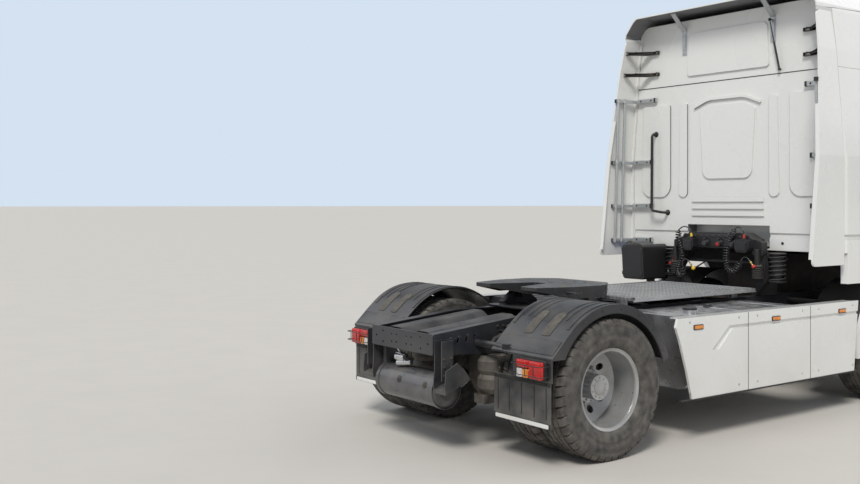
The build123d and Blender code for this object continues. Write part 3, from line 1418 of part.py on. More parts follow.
def roof_deflector():
    """Hood over the roof, open at the back and hanging over the back wall."""
    hood_back = FAIRING_REAR_TOP
    half = HALF_WIDTH - LEAN - 34
    top = ROOF_REAR + 86

    def hood(inset, back):
        drop = 4 * inset
        side = side_prism(
            [
                (CAB_FRONT + 700 + inset, ROOF_REAR - 60 - drop), (CAB_FRONT + 760 + inset, ROOF_REAR + 12),
                (CAB_FRONT + 1180 + inset, top - inset, 300), (back, top - 14 - inset),
                (back, FAIRING_TOP + 25 - drop),
            ],
            -half + inset, half - inset,
        )
        front_view = front_prism(
            [
                (-half + inset, FAIRING_TOP - 90), (half - inset, FAIRING_TOP - 90),
                (half - 16 - inset, ROOF_REAR - 90), (half - 150 - inset, top - inset, 160),
                (-half + 150 + inset, top - inset, 160), (-half + 16 + inset, ROOF_REAR - 90),
            ],
            CAB_FRONT + 600, back,
        )
        return side & front_view

    shell = hood(0, hood_back) - hood(14, hood_back + 5)
    body = cab_volume(-TOUCH, CAB_SEAM, ROOF_REAR + TOUCH)
    shell -= body
    cut = block((-2000, 2000), (CAB_FRONT, hood_back + 5), (CAB_SEAM, FAIRING_TOP + 5))
    return shell - cut


def visor():
    """Dark sun visor over the screen, held by three tabs."""
    top, low = SCREEN_TOP + 70, SCREEN_TOP - 80
    lift = 128.0
    reach = CAB_FRONT + SCREEN_RAKE - lift
    strip = (
        cab_plan(-40, low, top) - cab_plan(-26, low - 5, top + 5)
    ) & block((-1040, 1040), (FRONT - 300, reach + 200), (low, top))
    strip = Pos(0, lift - 30, 0) * strip
    for x in (-760, 0, 760):
        strip += block(
            (x - 16, x + 16), (CAB_FRONT + 40, CAB_FRONT + SCREEN_RAKE + 60),
            (SCREEN_TOP + 40, SCREEN_TOP + 60),
        )
    return strip - cab_volume(-TOUCH, 2500, 3400)


# Inside the cab

def dashboard():
    """Dash moulding across the cab under the screen."""
    return side_prism(
        [
            (CAB_FRONT + 90, 1900), (CAB_FRONT + 90, 2080), (CAB_FRONT + 420, 2120, 30),
            (CAB_FRONT + 520, 2000, 40), (CAB_FRONT + 430, 1720, 40), (CAB_FRONT + 300, FLOOR_TOP),
            (CAB_FRONT + 110, FLOOR_TOP),
        ],
        -1080, 1080,
    ) & cab_volume(DOOR_SKIN + 32, FLOOR_TOP, 2300)


def steering_wheel():
    """Rim, hub and column on the left."""
    x, y, z = 560, CAB_FRONT + 640, 2120
    ring = Pos(x, y, z) * Rot(-38, 0, 0) * Torus(215, 15)
    hub = Pos(x, y, z) * Rot(-38, 0, 0) * (
        Cylinder(58, 30) + Box(420, 34, 16) + Pos(0, -105, 0) * Box(34, 210, 16)
    )
    column = rod((x, y, z), (x, y - 190, z - 240), 30)
    return ring + hub + column


def seat(x):
    """Seat with base, cushion and back."""
    y = CAB_FRONT + SEAT_REACH
    base = block((x - 190, x + 190), (y, y + 360), (FLOOR_TOP, 1800))
    cushion = side_prism(
        [(y - 60, 1800, 30), (y + 440, 1800, 20), (y + 440, 1930, 30), (y - 60, 1960, 50)], x - 250, x + 250,
    )
    end = y + SEAT_DEPTH
    back = side_prism(
        [(end - 240, 1900, 20), (end - 120, 1900, 20), (end, 2740, 50), (end - 120, 2760, 50)], x - 230,
        x + 230,
    )
    return base + cushion + back


def bunk():
    """Bed across the back of the cab on a locker."""
    y0, y1 = CAB_FRONT + SEAT_REACH + SEAT_DEPTH + 52, CAB_BACK - 190
    locker = block((-1080, 1080), (y0, y1), (FLOOR_TOP, 1830))
    return locker + block((-1090, 1090), (y0 - 30, y1), (1830, 1960))


def air_filter():
    """Black intake housing behind the cab on the left, with its round duct."""
    y = CAB_BACK + 200
    box = front_prism([(700, 1060, 20), (980, 1060, 40), (1000, 1400, 40), (715, 1420, 40)], y - 150, y + 220)
    for k in range(5):
        x = 745 + k * 50
        box -= block((x - 9, x + 9), (y + 212, y + 225), (1090, 1370))
    box += rod((900, y, 1310), (1110, y, 1352), 88)
    return box + block(
        (RAIL_OUTER - 60, 760), (y + 40, y + 110), (RAIL_TOP, 1000),
    ) + block((710, 760), (y + 40, y + 110), (980, 1080))


def line_tube(points, diameter):
    """Straight runs joined by arcs as large as the shorter run beside each point allows."""
    points = line_points(points)
    radii = []
    for a, b, c in zip(points, points[1:], points[2:]):
        turn = (b - a).get_angle(c - b)
        radii.append(0.45 * min((b - a).length, (c - b).length) / tan(radians(turn / 2)))
    print("arc radii", [round(r) for r in radii])
    path = FilletPolyline(*points, radius=radii)
    return sweep(Plane(origin=path @ 0, z_dir=path % 0) * Circle(diameter / 2), path)


def air_line(line):
    """One line as three tubes that meet face to face."""
    start = line_tube(line["start"], LINE_DIAMETER)
    coil = line_tube(line["coil"], COIL_DIAMETER)
    end = line_tube(line["end"], LINE_DIAMETER)
    return group(start, coil, end)


def air_plugs():
    """Hose tail and coupling head at the end of each line."""
    made = []
    for line in AIR_LINES:
        before, a = line_points(line["end"][-2:])
        reach = (a - before).normalized()
        b = a + reach * PLUG_LENGTH
        body = rod(tuple(a), tuple(b), 10)
        made.append(body + rod(tuple(b - reach * 26), tuple(b), 19))
    return group(*made)


def axle_cover():
    """Moulded cover between the rails behind the coupling, with two long humps."""
    base = [(-COVER_HALF, 0), (COVER_HALF, 0)]
    hump = [(COVER_HALF, 8), (330, 14, 60), (250, 62, 90), (110, 62, 90), (40, 12, 60)]
    left = [(-p[0], *p[1:]) for p in reversed(hump)]
    solid = front_prism(base + hump + left, 0, COVER_LENGTH)
    low_hump = [(COVER_HALF - 5, 0), (328, 7, 60), (248, 55, 90), (112, 55, 90), (42, 5, 60)]
    low_left = [(-p[0], *p[1:]) for p in reversed(low_hump)]
    solid -= front_prism(
        [(-COVER_HALF + 5, -1), (COVER_HALF - 5, -1)] + low_hump + low_left, -5, COVER_LENGTH + 5,
    )
    return Pos(0, RAIL_END - COVER_LENGTH - 60, 905) * Rot(-COVER_SLOPE, 0, 0) * solid


def mud_flap():
    """Left flap under the lamp panel."""
    y = REAR_AXLE + 598
    return block((GUARD_INNER_X + 30, HALF_WIDTH - 20), (y - 10, y - 4), (300, LAMP_TOP - LAMP_HEIGHT - 10))


def main():
    os.makedirs("parts", exist_ok=True)
    shell, roof, doors, glass, screen, hatch = cab_parts()
    lines = [air_line(line) for line in AIR_LINES]
    plugs = air_plugs()
    nodes = {
        "tyre_front_left": tyre(FRONT_WHEEL_X, FRONT_AXLE),
        "rim_front_left": front_wheel(),
        "tyres_rear_left": group(tyre(REAR_OUTER_X, REAR_AXLE), tyre(REAR_INNER_X, REAR_AXLE)),
        "rims_rear_left": rear_wheel(),
        "knuckle_left": knuckle(),
        "front_axle": front_axle() + leaf_spring() + flip(leaf_spring()),
        "rear_axle": rear_axle() + rear_beam() + flip(rear_beam()),
        "air_springs": pair(group(bellows(REAR_AXLE - BELLOWS_REACH), bellows(REAR_AXLE + BELLOWS_REACH))),
        "frame_rails": pair(rail() + cab_mount()),
        "crossmembers": crossmembers(),
        "frame_tail": group(end_plate(), pair(rear_bracket())),
        "rear_air_tank": rear_tank() + tank_strap() + flip(tank_strap()),
        "coupling_mount": seat_plate() + pedestal() + flip(pedestal()),
        "coupling_plate": coupling(),
        "rear_mudguards": pair(mudguard() + mud_flap()),
        "tail_lamps": pair(tail_lamp()),
        "deck": deck(),
        "fuel_tank": fuel_tank(),
        "left_boxes": group(box_left(), battery_box()),
        "side_skirts": pair(skirt()),
        "drive_train": engine() + gearbox() + prop_shaft() - rear_axle(),
        "radiator": radiator(),
        "bumper": bumper() + lamp_unit() + flip(lamp_unit()),
        "headlamps": pair(headlamp()),
        "steps": pair(steps()),
        "front_guards": pair(front_guard()),
        "portal": portal([*lines, plugs]) + cab_strut() + flip(cab_strut()),
        "cab_shell": shell + cab_hinge() + flip(cab_hinge()),
        "cab_roof": roof,
        "door_left": doors[0],
        "door_right": doors[1],
        "door_glass_left": glass[0],
        "door_glass_right": glass[1],
        "windscreen": screen,
        "front_lid": hatch,
        "door_handle_left": door_handle(),
        "mirror_left": mirror_unit(),
        "side_fairings": pair(fairing()),
        "back_wall_fittings": pair(fairing_frame()),
        "grab_rail": grab_rail(),
        "roof_deflector": roof_deflector(),
        "sun_visor": visor(),
        "dashboard": dashboard(),
        "steering_wheel": steering_wheel() - dashboard(),
        "seats": pair(seat(560)),
        "bunk": bunk(),
        "air_filter": air_filter(),
        "axle_cover": axle_cover(),
        "air_line_left": lines[0],
        "air_line_right": lines[1],
        "air_line_plugs": plugs,
    }
    mirrored = ("tyre_front", "rim_front", "tyres_rear", "rims_rear", "knuckle", "mirror", "door_handle")
    for name in mirrored:
        nodes[f"{name}_right"] = flip(nodes[f"{name}_left"])
    for name, shape in nodes.items():
        export_step(shape, f"parts/{name}.step")
    print(len(nodes), "nodes")


main()
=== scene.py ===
import math

import bmesh
import bpy
from mathutils import Matrix, Vector


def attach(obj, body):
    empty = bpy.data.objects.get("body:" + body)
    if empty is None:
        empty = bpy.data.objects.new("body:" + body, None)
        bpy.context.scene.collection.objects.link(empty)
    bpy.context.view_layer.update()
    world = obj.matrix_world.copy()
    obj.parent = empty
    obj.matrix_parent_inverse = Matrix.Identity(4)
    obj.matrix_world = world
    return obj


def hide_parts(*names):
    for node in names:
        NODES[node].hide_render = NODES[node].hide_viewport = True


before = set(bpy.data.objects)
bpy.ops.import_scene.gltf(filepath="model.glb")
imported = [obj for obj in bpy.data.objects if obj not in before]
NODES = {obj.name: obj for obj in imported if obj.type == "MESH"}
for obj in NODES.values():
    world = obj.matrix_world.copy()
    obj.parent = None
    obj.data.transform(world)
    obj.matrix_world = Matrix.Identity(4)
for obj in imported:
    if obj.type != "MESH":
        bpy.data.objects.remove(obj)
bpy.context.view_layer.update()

scene = bpy.context.scene

# Places shared with the solids of model.glb, in metres: half the width; ends, axles and pin along the
# vehicle;
# radii; frame rail; tail lamps; air tank (y, z); floor and roof seam of the cab
HALF = 1.245
FRONT, CAB_FRONT, CAB_BACK = -3.075, -2.997, -.825
FRONT_AXLE, REAR_AXLE, PIN = -1.695, 2.105, 1.545
TYRE, GUARD_RADIUS = .507, .61
RAIL = .395
LAMP_Y = 2.703
TANK_AT = (2.929, .462)
CAB_FLOOR, SEAM = 1.463, 3.05

SIDES = ((1, "left"), (-1, "right"))
ACROSS, AFT, UP = (1, 0, 0), (0, 1, 0), (0, 0, 1)


def near(middle, half):
    """Both ends of a span about its middle."""
    return middle - half, middle + half


def turns(count, shift=0.0):
    """Angles that divide a circle."""
    return [2 * math.pi * (k + shift) / count for k in range(count)]


def new_object(name, data):
    made = bpy.data.objects.new(name, data)
    scene.collection.objects.link(made)
    return made


# Camera, at the photograph's viewing angle

camera = new_object("camera", bpy.data.cameras.new("camera"))
scene.camera = camera
camera.data.sensor_width = 36.0
camera.data.lens = 41.78
camera.data.shift_y = -37.6 / 860
camera.data.clip_end = 2000.0
camera.location = (-6.152, 7.351, 1.824)
camera.rotation_mode = "QUATERNION"
camera.rotation_quaternion = Vector((.804, -.594, 0.0)).to_track_quat("-Z", "Y")


# Materials

def feed(tree, socket, value):
    """Joins a socket to another one, or gives it a value."""
    if isinstance(value, bpy.types.NodeSocket):
        tree.links.new(value, socket)
    else:
        socket.default_value = value


def shader_node(tree, kind, settings=None, **sockets):
    made = tree.nodes.new("ShaderNode" + kind)
    for key, value in (settings or {}).items():
        setattr(made, key, value)
    for key, value in sockets.items():
        feed(tree, made.inputs[key.replace("_", " ")], value)
    return made


def combine(tree, kind, operation, *values):
    """The outputs of a Math or VectorMath node."""
    made = shader_node(tree, kind, {"operation": operation})
    for socket, value in zip(made.inputs, values):
        feed(tree, socket, value)
    return made.outputs


def times(tree, *values):
    return combine(tree, "Math", "MULTIPLY", *values)[0]


def mix(tree, amount, low, high):
    """Mixes two colours by a socket."""
    made = shader_node(tree, "Mix", {"data_type": "RGBA"})
    tree.links.new(amount, made.inputs[0])
    for socket, value in ((made.inputs[6], low), (made.inputs[7], high)):
        feed(tree, socket, value if isinstance(value, bpy.types.NodeSocket) else (*value, 1.0))
    return made.outputs[2]


def ramp(tree, value, low, high, out_low=0.0, out_high=1.0):
    ends = {"From_Min": low, "From_Max": high, "To_Min": out_low, "To_Max": out_high}
    return shader_node(tree, "MapRange", Value=value, **ends).outputs[0]


def here(tree):
    """The place of the shaded point."""
    return tree.nodes.new("ShaderNodeTexCoord").outputs["Object"]


def split(tree, vector):
    return shader_node(tree, "SeparateXYZ", Vector=vector).outputs


def noise(tree, scale, detail=3.0):
    return shader_node(tree, "TexNoise", Vector=here(tree), Scale=scale, Detail=detail).outputs[0]


def facing_up(tree):
    """Nearly 1 on surfaces that face up and 0 on the rest."""
    normal = tree.nodes.new("ShaderNodeNewGeometry").outputs["Normal"]
    return ramp(tree, split(tree, normal)[2], .35, .95)


def material(name, colour, other, rough, grain, vary=(1.2, .5), metal=0.0, coat=0.0, dust=0.0, low_dirt=0.0,
             dust_colour=(.36, .33, .29), spread=.12, transmission=0.0, sheen=0.0, pattern=None, edge_wear_and_highlight=None,
             edge=.003):
    """One surface: a colour that varies, dust facing up, dirt low down, worn edges and painted edge
    highlight, fine grain.

    vary is the scale and share of the other colour; grain is the scale, strength and depth of the bump.
    """
    made = bpy.data.materials.new(name)
    made.use_nodes = True
    tree = made.node_tree
    shader = tree.nodes["Principled BSDF"]
    for socket, value in (("Metallic", metal), ("Coat Weight", coat), ("Coat Roughness", .08),
                          ("Transmission Weight", transmission), ("Sheen Weight", sheen)):
        shader.inputs[socket].default_value = value
    cloud = ramp(tree, noise(tree, vary[0], 6.0), .35, .68)
    surface = mix(tree, times(tree, cloud, vary[1]), colour, other)
    wear = ramp(tree, noise(tree, vary[0] * 2.3, 8.0), .3, .72)
    if dust:
        amount = times(tree, times(tree, facing_up(tree), wear), dust)
        surface = mix(tree, amount, surface, dust_colour)
    if low_dirt:
        low = ramp(tree, split(tree, here(tree))[2], 1.0, .3)
        surface = mix(tree, times(tree, times(tree, low, wear), low_dirt), surface, dust_colour)
    soft = shader_node(tree, "Bevel", {"samples": 4}, Radius=edge).outputs[0]
    # Edges get another colour: worn paint, and on dark surfaces, whose edge colour is lighter, also a painted
    # highlight.
    if edge_wear_and_highlight:
        flat = tree.nodes.new("ShaderNodeNewGeometry").outputs["Normal"]
        along = combine(tree, "VectorMath", "DOT_PRODUCT", soft, flat)["Value"]
        amount = times(tree, ramp(tree, along, .998, .9), ramp(tree, wear, .2, .8))
        surface = mix(tree, times(tree, amount, edge_wear_and_highlight[1]), surface, edge_wear_and_highlight[0])
    bump_from = noise(tree, grain[0], 2.0)
    if pattern:
        surface, bump_from = pattern(tree, surface, bump_from)
    tree.links.new(surface, shader.inputs["Base Color"])
    roughness = ramp(tree, wear, 0.0, 1.0, max(.02, rough - spread), min(1.0, rough + spread))
    tree.links.new(roughness, shader.inputs["Roughness"])
    bump = shader_node(tree, "Bump", Height=bump_from, Strength=grain[1], Distance=grain[2], Normal=soft)
    tree.links.new(bump.outputs[0], shader.inputs["Normal"])
    return made


def chequer(tree, surface, bump_from):
    """Raised crossed bars of tread plate."""
    where = here(tree)
    bars = []
    for turn in (.785, -.785):
        turned = shader_node(tree, "Mapping", Vector=where, Rotation=(0, 0, turn), Scale=(34.0, 13.0, 1.0))
        cell = shader_node(
            tree, "TexVoronoi", {"voronoi_dimensions": "2D"}, Vector=turned.outputs[0], Scale=1.0,
            Randomness=0.0,
        )
        bars.append(ramp(tree, cell.outputs["Distance"], .4, .22))
    high = combine(tree, "Math", "MAXIMUM", *bars)[0]
    return mix(tree, times(tree, high, .5), surface, (.8, .8, .79)), high


def spangle(tree, surface, bump_from):
    """Zinc crystals."""
    cell = shader_node(tree, "TexVoronoi", Vector=here(tree), Scale=130.0).outputs["Distance"]
    return mix(tree, times(tree, cell, .7), surface, (.78, .8, .81)), cell


def weave(tree, surface, bump_from):
    """Crossed threads of seat cloth."""
    where = here(tree)
    rows = []
    for turn in ((0, 0, .785), (.785, 0, -.785)):
        turned = shader_node(tree, "Mapping", Vector=where, Rotation=turn).outputs[0]
        rows.append(shader_node(tree, "TexWave", Vector=turned, Scale=230.0, Distortion=1.5).outputs[1])
    both = times(tree, *rows)
    return mix(tree, times(tree, both, .5), surface, (.3, .31, .33)), both


def ribs(tree, surface, bump_from):
    """Fine vertical ribs of a lens."""
    return surface, shader_node(
        tree, "TexWave", {"bands_direction": "X"}, Vector=here(tree), Scale=42.0,
    ).outputs[1]


def rings(tree, surface, bump_from):
    """Moulded rings round a tyre's side."""
    form = {"wave_type": "RINGS", "rings_direction": "X"}
    return surface, shader_node(tree, "TexWave", form, Vector=here(tree), Scale=22.0).outputs[1]


def window_band(tree, surface, bump_from):
    """Black surround of the door's glass, within lines of (y share, z share, least sum) in the side view."""
    where = here(tree)
    amount = None
    for share_y, share_z, least in ((-.2645, .9644, 2.7815), (0, -1, -2.93), (-1, 0, 1.548),
                                    (.97, -.243, -3.04), (1, 0, -2.588)):
        value = combine(tree, "VectorMath", "DOT_PRODUCT", where, (0, share_y, share_z))["Value"]
        step = ramp(tree, value, least, least + .002)
        amount = step if amount is None else times(tree, amount, step)
    return mix(tree, amount, surface, (.018, .018, .02)), bump_from


def screen_band(tree, surface, bump_from):
    """Black printed border of the windscreen."""
    x, _, z = split(tree, here(tree))
    wide = combine(tree, "Math", "ABSOLUTE", x)[0]
    sides, foot, top = (
        ramp(tree, value, *ends)
        for value, ends in ((wide, (.925, .915)), (z, (2.225, 2.235)), (z, (2.905, 2.895)))
    )
    return mix(tree, times(tree, times(tree, sides, foot), top), (.01, .01, .011), surface), bump_from


def shaded_holes(tree, surface, bump_from):
    """Rows of round holes in step plate, painted near-black as the shade seen through them."""
    cell = shader_node(
        tree, "TexVoronoi", {"voronoi_dimensions": "2D"}, Vector=here(tree), Scale=42.0, Randomness=0.0,
    )
    # Painted shade: near-black spots where holes would show the dark behind the plate; the same spots give
    # the bump.
    painted_hole_shade = ramp(tree, cell.outputs["Distance"], .3, .24)
    return mix(tree, painted_hole_shade, surface, (.008, .008, .008)), painted_hole_shade


def paint(name, **more):
    return material(
        name, (.8, .805, .79), (.745, .75, .73), .28, (160.0, .04, .001), (.9, .6), coat=.6, low_dirt=.35,
        spread=.06, dust_colour=(.5, .46, .4), **more,
    )


def pane(name, **more):
    return material(name, (.1, .125, .13), (.07, .09, .1), .06, (3.0, .02, .001), spread=.03, **more)


def lens(name, colour, other, rough, vary=(14.0, .8), coat=.6):
    return material(name, colour, other, rough, (60.0, .5, .0016), vary, coat=coat, pattern=ribs, spread=.05)


def woven(name, colour, other, rough):
    return material(name, colour, other, rough, (60.0, .6, .0012), (3.0, .8), sheen=.4, pattern=weave)


def marking(name, colour, other):
    return material(name, colour, other, .45, (400.0, .2, .0005), (30.0, .8))


WHITE = paint("white_paint", dust=.25, edge=.006)
DOOR = paint("door_paint", dust=.2, pattern=window_band, edge=.005)
INSIDE = material("inner_panel", (.2, .205, .21), (.15, .155, .16), .7, (140.0, .3, .002))
LINING = material("roof_lining", (.42, .41, .39), (.34, .335, .32), .9, (260.0, .5, .002), sheen=.2)
CARPET = material("floor_mat", (.035, .035, .037), (.06, .058, .055), .9, (320.0, .8, .003), dust=.3)
FRAME = material(
    "frame_grey", (.022, .025, .031), (.014, .016, .021), .4, (70.0, .18, .002), (2.0, .8), dust=.28,
    low_dirt=.3, coat=.2, edge_wear_and_highlight=((.2, .21, .22), .55),
)
BLACK = material(
    "black_plastic", (.016, .016, .018), (.034, .034, .038), .46, (420.0, .25, .0008), dust=.22,
    edge_wear_and_highlight=((.09, .09, .09), .5),
)
GUARD = material(
    "guard_plastic", (.018, .019, .023), (.034, .036, .041), .36, (300.0, .22, .0012), (2.4, .9), dust=.24,
    low_dirt=.4, edge_wear_and_highlight=((.13, .13, .13), .6), edge=.006,
)
RUBBER = material("rubber", (.016, .016, .017), (.036, .034, .033), .62, (220.0, .3, .001), dust=.35)
BELLOWS = material(
    "bellows_rubber", (.05, .044, .038), (.085, .074, .062), .66, (200.0, .35, .001), (9.0, .9), dust=.5,
    low_dirt=.3,
)
TREAD = material(
    "tyre_rubber", (.024, .023, .023), (.055, .051, .047), .78, (150.0, .35, .0015), (5.0, .9), dust=.35,
    low_dirt=.4, edge_wear_and_highlight=((.1, .095, .09), .5),
)
SIDEWALL = material(
    "tyre_side", (.02, .02, .02), (.042, .04, .037), .62, (1.0, .22, .0016), (6.0, .9), low_dirt=.35,
    pattern=rings,
)
RIM = material(
    "rim_silver", (.5, .51, .52), (.36, .36, .36), .38, (120.0, .12, .001), (7.0, .8), metal=.55,
    low_dirt=.35, edge_wear_and_highlight=((.3, .27, .24), .4),
)
ALUMINIUM = material(
    "aluminium", (.66, .665, .67), (.5, .5, .51), .34, (260.0, .15, .0008), (4.0, .7), metal=.9, low_dirt=.25,
)
PLATE = material(
    "tread_plate", (.46, .465, .47), (.3, .3, .3), .4, (60.0, .7, .003), (3.0, .8), metal=.75, dust=.35,
    pattern=chequer,
)
STEP = material(
    "step_plate", (.13, .135, .14), (.09, .09, .095), .45, (60.0, .8, .003), (5.0, .8), metal=.6,
    low_dirt=.4, pattern=shaded_holes,
)
ZINC = material(
    "galvanised", (.46, .485, .5), (.34, .36, .37), .4, (60.0, .06, .0006), metal=.75, pattern=spangle,
)
GREASE = material(
    "greased_iron", (.034, .036, .04), (.052, .052, .052), .34, (38.0, .35, .003), (5.0, .8), metal=.3,
    dust=.26, spread=.15, edge_wear_and_highlight=((.2, .2, .2), .5),
)
IRON = material(
    "cast_iron", (.04, .04, .042), (.085, .066, .052), .6, (110.0, .45, .002), (6.0, .8), metal=.4,
    low_dirt=.4,
)
TANK = material(
    "tank_paint", (.06, .064, .072), (.04, .043, .05), .34, (70.0, .15, .002), (3.0, .8), coat=.2, dust=.32,
    low_dirt=.35,
)
GLASS = pane("glass", transmission=.75)
SCREEN = pane("screen_glass", transmission=.7, pattern=screen_band)
MIRROR = material(
    "mirror_glass", (.72, .74, .75), (.66, .68, .7), .04, (3.0, .01, .001), metal=1.0, spread=.02,
)
RED = lens("lamp_red", (.6, .012, .01), (.42, .006, .006), .16)
AMBER = lens("lamp_amber", (.85, .3, .03), (.65, .18, .02), .18)
PALE = lens("lamp_pale", (.74, .73, .72), (.62, .61, .6), .16, vary=(1.2, .5), coat=.5)
CHROME = material("chrome", (.8, .81, .82), (.7, .71, .72), .12, (200.0, .03, .0005), metal=1.0, spread=.05)
BRASS = material("brass", (.62, .44, .17), (.42, .28, .11), .3, (300.0, .15, .0005), (40.0, .8), metal=.95)
YELLOW = marking("line_yellow", (.8, .55, .04), (.62, .4, .03))
SLEEVE = marking("line_red", (.55, .03, .025), (.4, .02, .02))
BLUE = marking("line_blue", (.03, .1, .42), (.02, .07, .3))
LINE = material(
    "line_black", (.016, .016, .018), (.035, .035, .038), .3, (500.0, .15, .0004), (20.0, .7), coat=.25,
)
TAN = material("pad_tan", (.085, .077, .066), (.06, .055, .048), .8, (200.0, .5, .001), (14.0, .9), dust=.3)
CLOTH = woven("seat_cloth", (.1, .105, .115), (.075, .078, .085), .85)
PAD = woven("bunk_cloth", (.26, .26, .25), (.2, .2, .19), .88)
LEATHER = material("wheel_leather", (.035, .034, .033), (.055, .053, .05), .5, (330.0, .5, .0012))


# Mesh helpers

def bands(rows, sides, closed):
    """Faces between rows of points round an axis, with ends unless the rows close on themselves."""
    faces = []
    for i in range(rows if closed else rows - 1):
        a, b = i * sides, (i + 1) % rows * sides
        for k in range(sides):
            faces.append([a + k, a + (k + 1) % sides, b + (k + 1) % sides, b + k])
    if not closed:
        faces.append(list(range(sides))[::-1])
        faces.append([(rows - 1) * sides + k for k in range(sides)])
    return faces


def circle(centre, side, up, radius, sides):
    return [centre + (side * math.cos(a) + up * math.sin(a)) * radius for a in turns(sides)]


class Shape:
    """Vertices and faces of one piece, gathered from simple forms."""

    def __init__(self):
        self.verts, self.faces = [], []

    def add(self, verts, faces):
        first = len(self.verts)
        self.verts += [tuple(v) for v in verts]
        self.faces += [[i + first for i in face] for face in faces]
        return self

    def prism(self, points, axis, low, high):
        """A closed outline carried along axis 0, 1 or 2; its points are in the other two axes' order."""
        count = len(points)
        area = sum(a[0] * b[1] - b[0] * a[1] for a, b in zip(points, points[1:] + points[:1]))
        if (area > 0) == (axis == 1):
            points = points[::-1]
        verts = []
        for at in (low, high):
            for p in points:
                place = [p[0], p[1]]
                place.insert(axis, at)
                verts.append(place)
        faces = [list(range(count))[::-1], list(range(count, 2 * count))]
        faces += [[i, (i + 1) % count, (i + 1) % count + count, i + count] for i in range(count)]
        return self.add(verts, faces)

    def box(self, x, y, z, radius=0.0, axis=2, steps=5):
        """A block between pairs of ends; with a radius its edges along the axis are round."""
        spans = [x, y, z]
        low, high = spans.pop(axis)
        (a, b), (c, d) = spans
        corners = [(a, c), (b, c), (b, d), (a, d)]
        return self.prism(rounded(corners, radius, steps) if radius else corners, axis, low, high)

    def tube(self, path, radius, sides=10, closed=False):
        """A round bar along points; radius is one number or one for each point."""
        path = [Vector(p) for p in path]
        count = len(path)
        radii = [radius] * count if isinstance(radius, (int, float)) else radius
        verts = []
        side = None
        for i, point in enumerate(path):
            before = path[i - 1] if i or closed else path[0]
            after = path[(i + 1) % count] if i < count - 1 or closed else path[-1]
            along = (after - before).normalized()
            side = side or along.orthogonal().normalized()
            side = (side - along * side.dot(along)).normalized()
            verts += circle(point, side, along.cross(side), radii[i], sides)
        return self.add(verts, bands(count, sides, closed))

    def lathe(self, profile, centre, axis, sides=24, ring=False):
        """A profile of (along, radius) turned about an axis through centre; a ring's profile is closed."""
        axis, centre = Vector(axis).normalized(), Vector(centre)
        side = axis.orthogonal().normalized()
        verts = []
        for along, radius in profile:
            verts += circle(centre + axis * along, side, axis.cross(side), max(radius, 1e-5), sides)
        return self.add(verts, bands(len(profile), sides, ring))

    def bolt(self, at, axis, size, height=None):
        """A hexagon head on a washer."""
        height = height or size * .6
        self.lathe([(0, size * 1.15), (size * .15, size * 1.15)], at, axis, 14)
        at = Vector(at) + Vector(axis).normalized() * size * .15
        return self.lathe([(0, size), (height * .85, size), (height, size * .85)], at, axis, 6)

    def mirrored(self):
        """Adds the same forms on the other side."""
        return self.add([(-v[0], v[1], v[2]) for v in self.verts], [face[::-1] for face in self.faces])

    def make(
        self, name, surface, body="chassis", slot=None, bevel=0.0, smooth=35, replaces=(), origin=(0, 0, 0),
        second=None,
    ):
        """The object of these forms; second is another surface and the test that picks its faces."""
        mesh = bpy.data.meshes.new(name)
        mesh.from_pydata(self.verts, [], self.faces)
        mesh.validate()
        work = bmesh.new()
        work.from_mesh(mesh)
        bmesh.ops.recalc_face_normals(work, faces=work.faces)
        work.to_mesh(mesh)
        work.free()
        made = new_object(name, mesh)
        made.location = origin
        mesh.materials.append(surface)
        if second:
            mesh.materials.append(second[0])
            for face in mesh.polygons:
                face.material_index = int(second[1](face.center))
        if bevel:
            modifier = made.modifiers.new("bevel", "BEVEL")
            modifier.width, modifier.segments, modifier.limit_method = bevel, 2, "ANGLE"
            modifier.angle_limit = .6
        mesh.shade_smooth()
        mesh.set_sharp_from_angle(angle=math.radians(smooth))
        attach(made, body)
        if replaces:
            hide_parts(*replaces)
        return made

    def pair(self, name, surface, body="chassis", **more):
        """The piece on the left and its mirror image on the right; body "door" means the door of its side."""
        for side, word in SIDES:
            form = Shape().add([(side * v[0], v[1], v[2]) for v in self.verts], self.faces)
            form.make(name + "_" + word, surface, "door_" + word if body == "door" else body, **more)


def arc(centre, radius, start, end, count):
    """Points in a plane on an arc, angles in degrees."""
    angles = [math.radians(start + (end - start) * i / (count - 1)) for i in range(count)]
    return [(centre[0] + radius * math.cos(a), centre[1] + radius * math.sin(a)) for a in angles]


def rounded(points, radius, steps=5):
    """A closed outline with round corners; radius is one number or one for each corner."""
    out = []
    count = len(points)
    radii = [radius] * count if isinstance(radius, (int, float)) else radius
    for i in range(count):
        a, b, c = (Vector((*points[(i + k) % count], 0)) for k in (-1, 0, 1))
        back, on = (a - b).normalized(), (c - b).normalized()
        half = back.angle(on) / 2
        reach = radii[i] / math.tan(half)
        start, end = b + back * reach, b + on * reach
        middle = b + (back + on).normalized() * radii[i] / math.sin(half)
        for k in range(steps + 1):
            direction = (start - middle).lerp(end - middle, k / steps).normalized()
            p = middle + direction * radii[i]
            out.append((p.x, p.y))
    return out


def touch(node, start, toward):
    """Where a line first meets a solid, and that face's direction."""
    found, place, normal, face = NODES[node].ray_cast(Vector(start), Vector(toward))
    assert found, (node, start)
    return place, normal


def ahead(node, x, z):
    """Where the front of a solid is met at x and z, and that face's direction."""
    return touch(node, (x, -4, z), AFT)


# Air lines

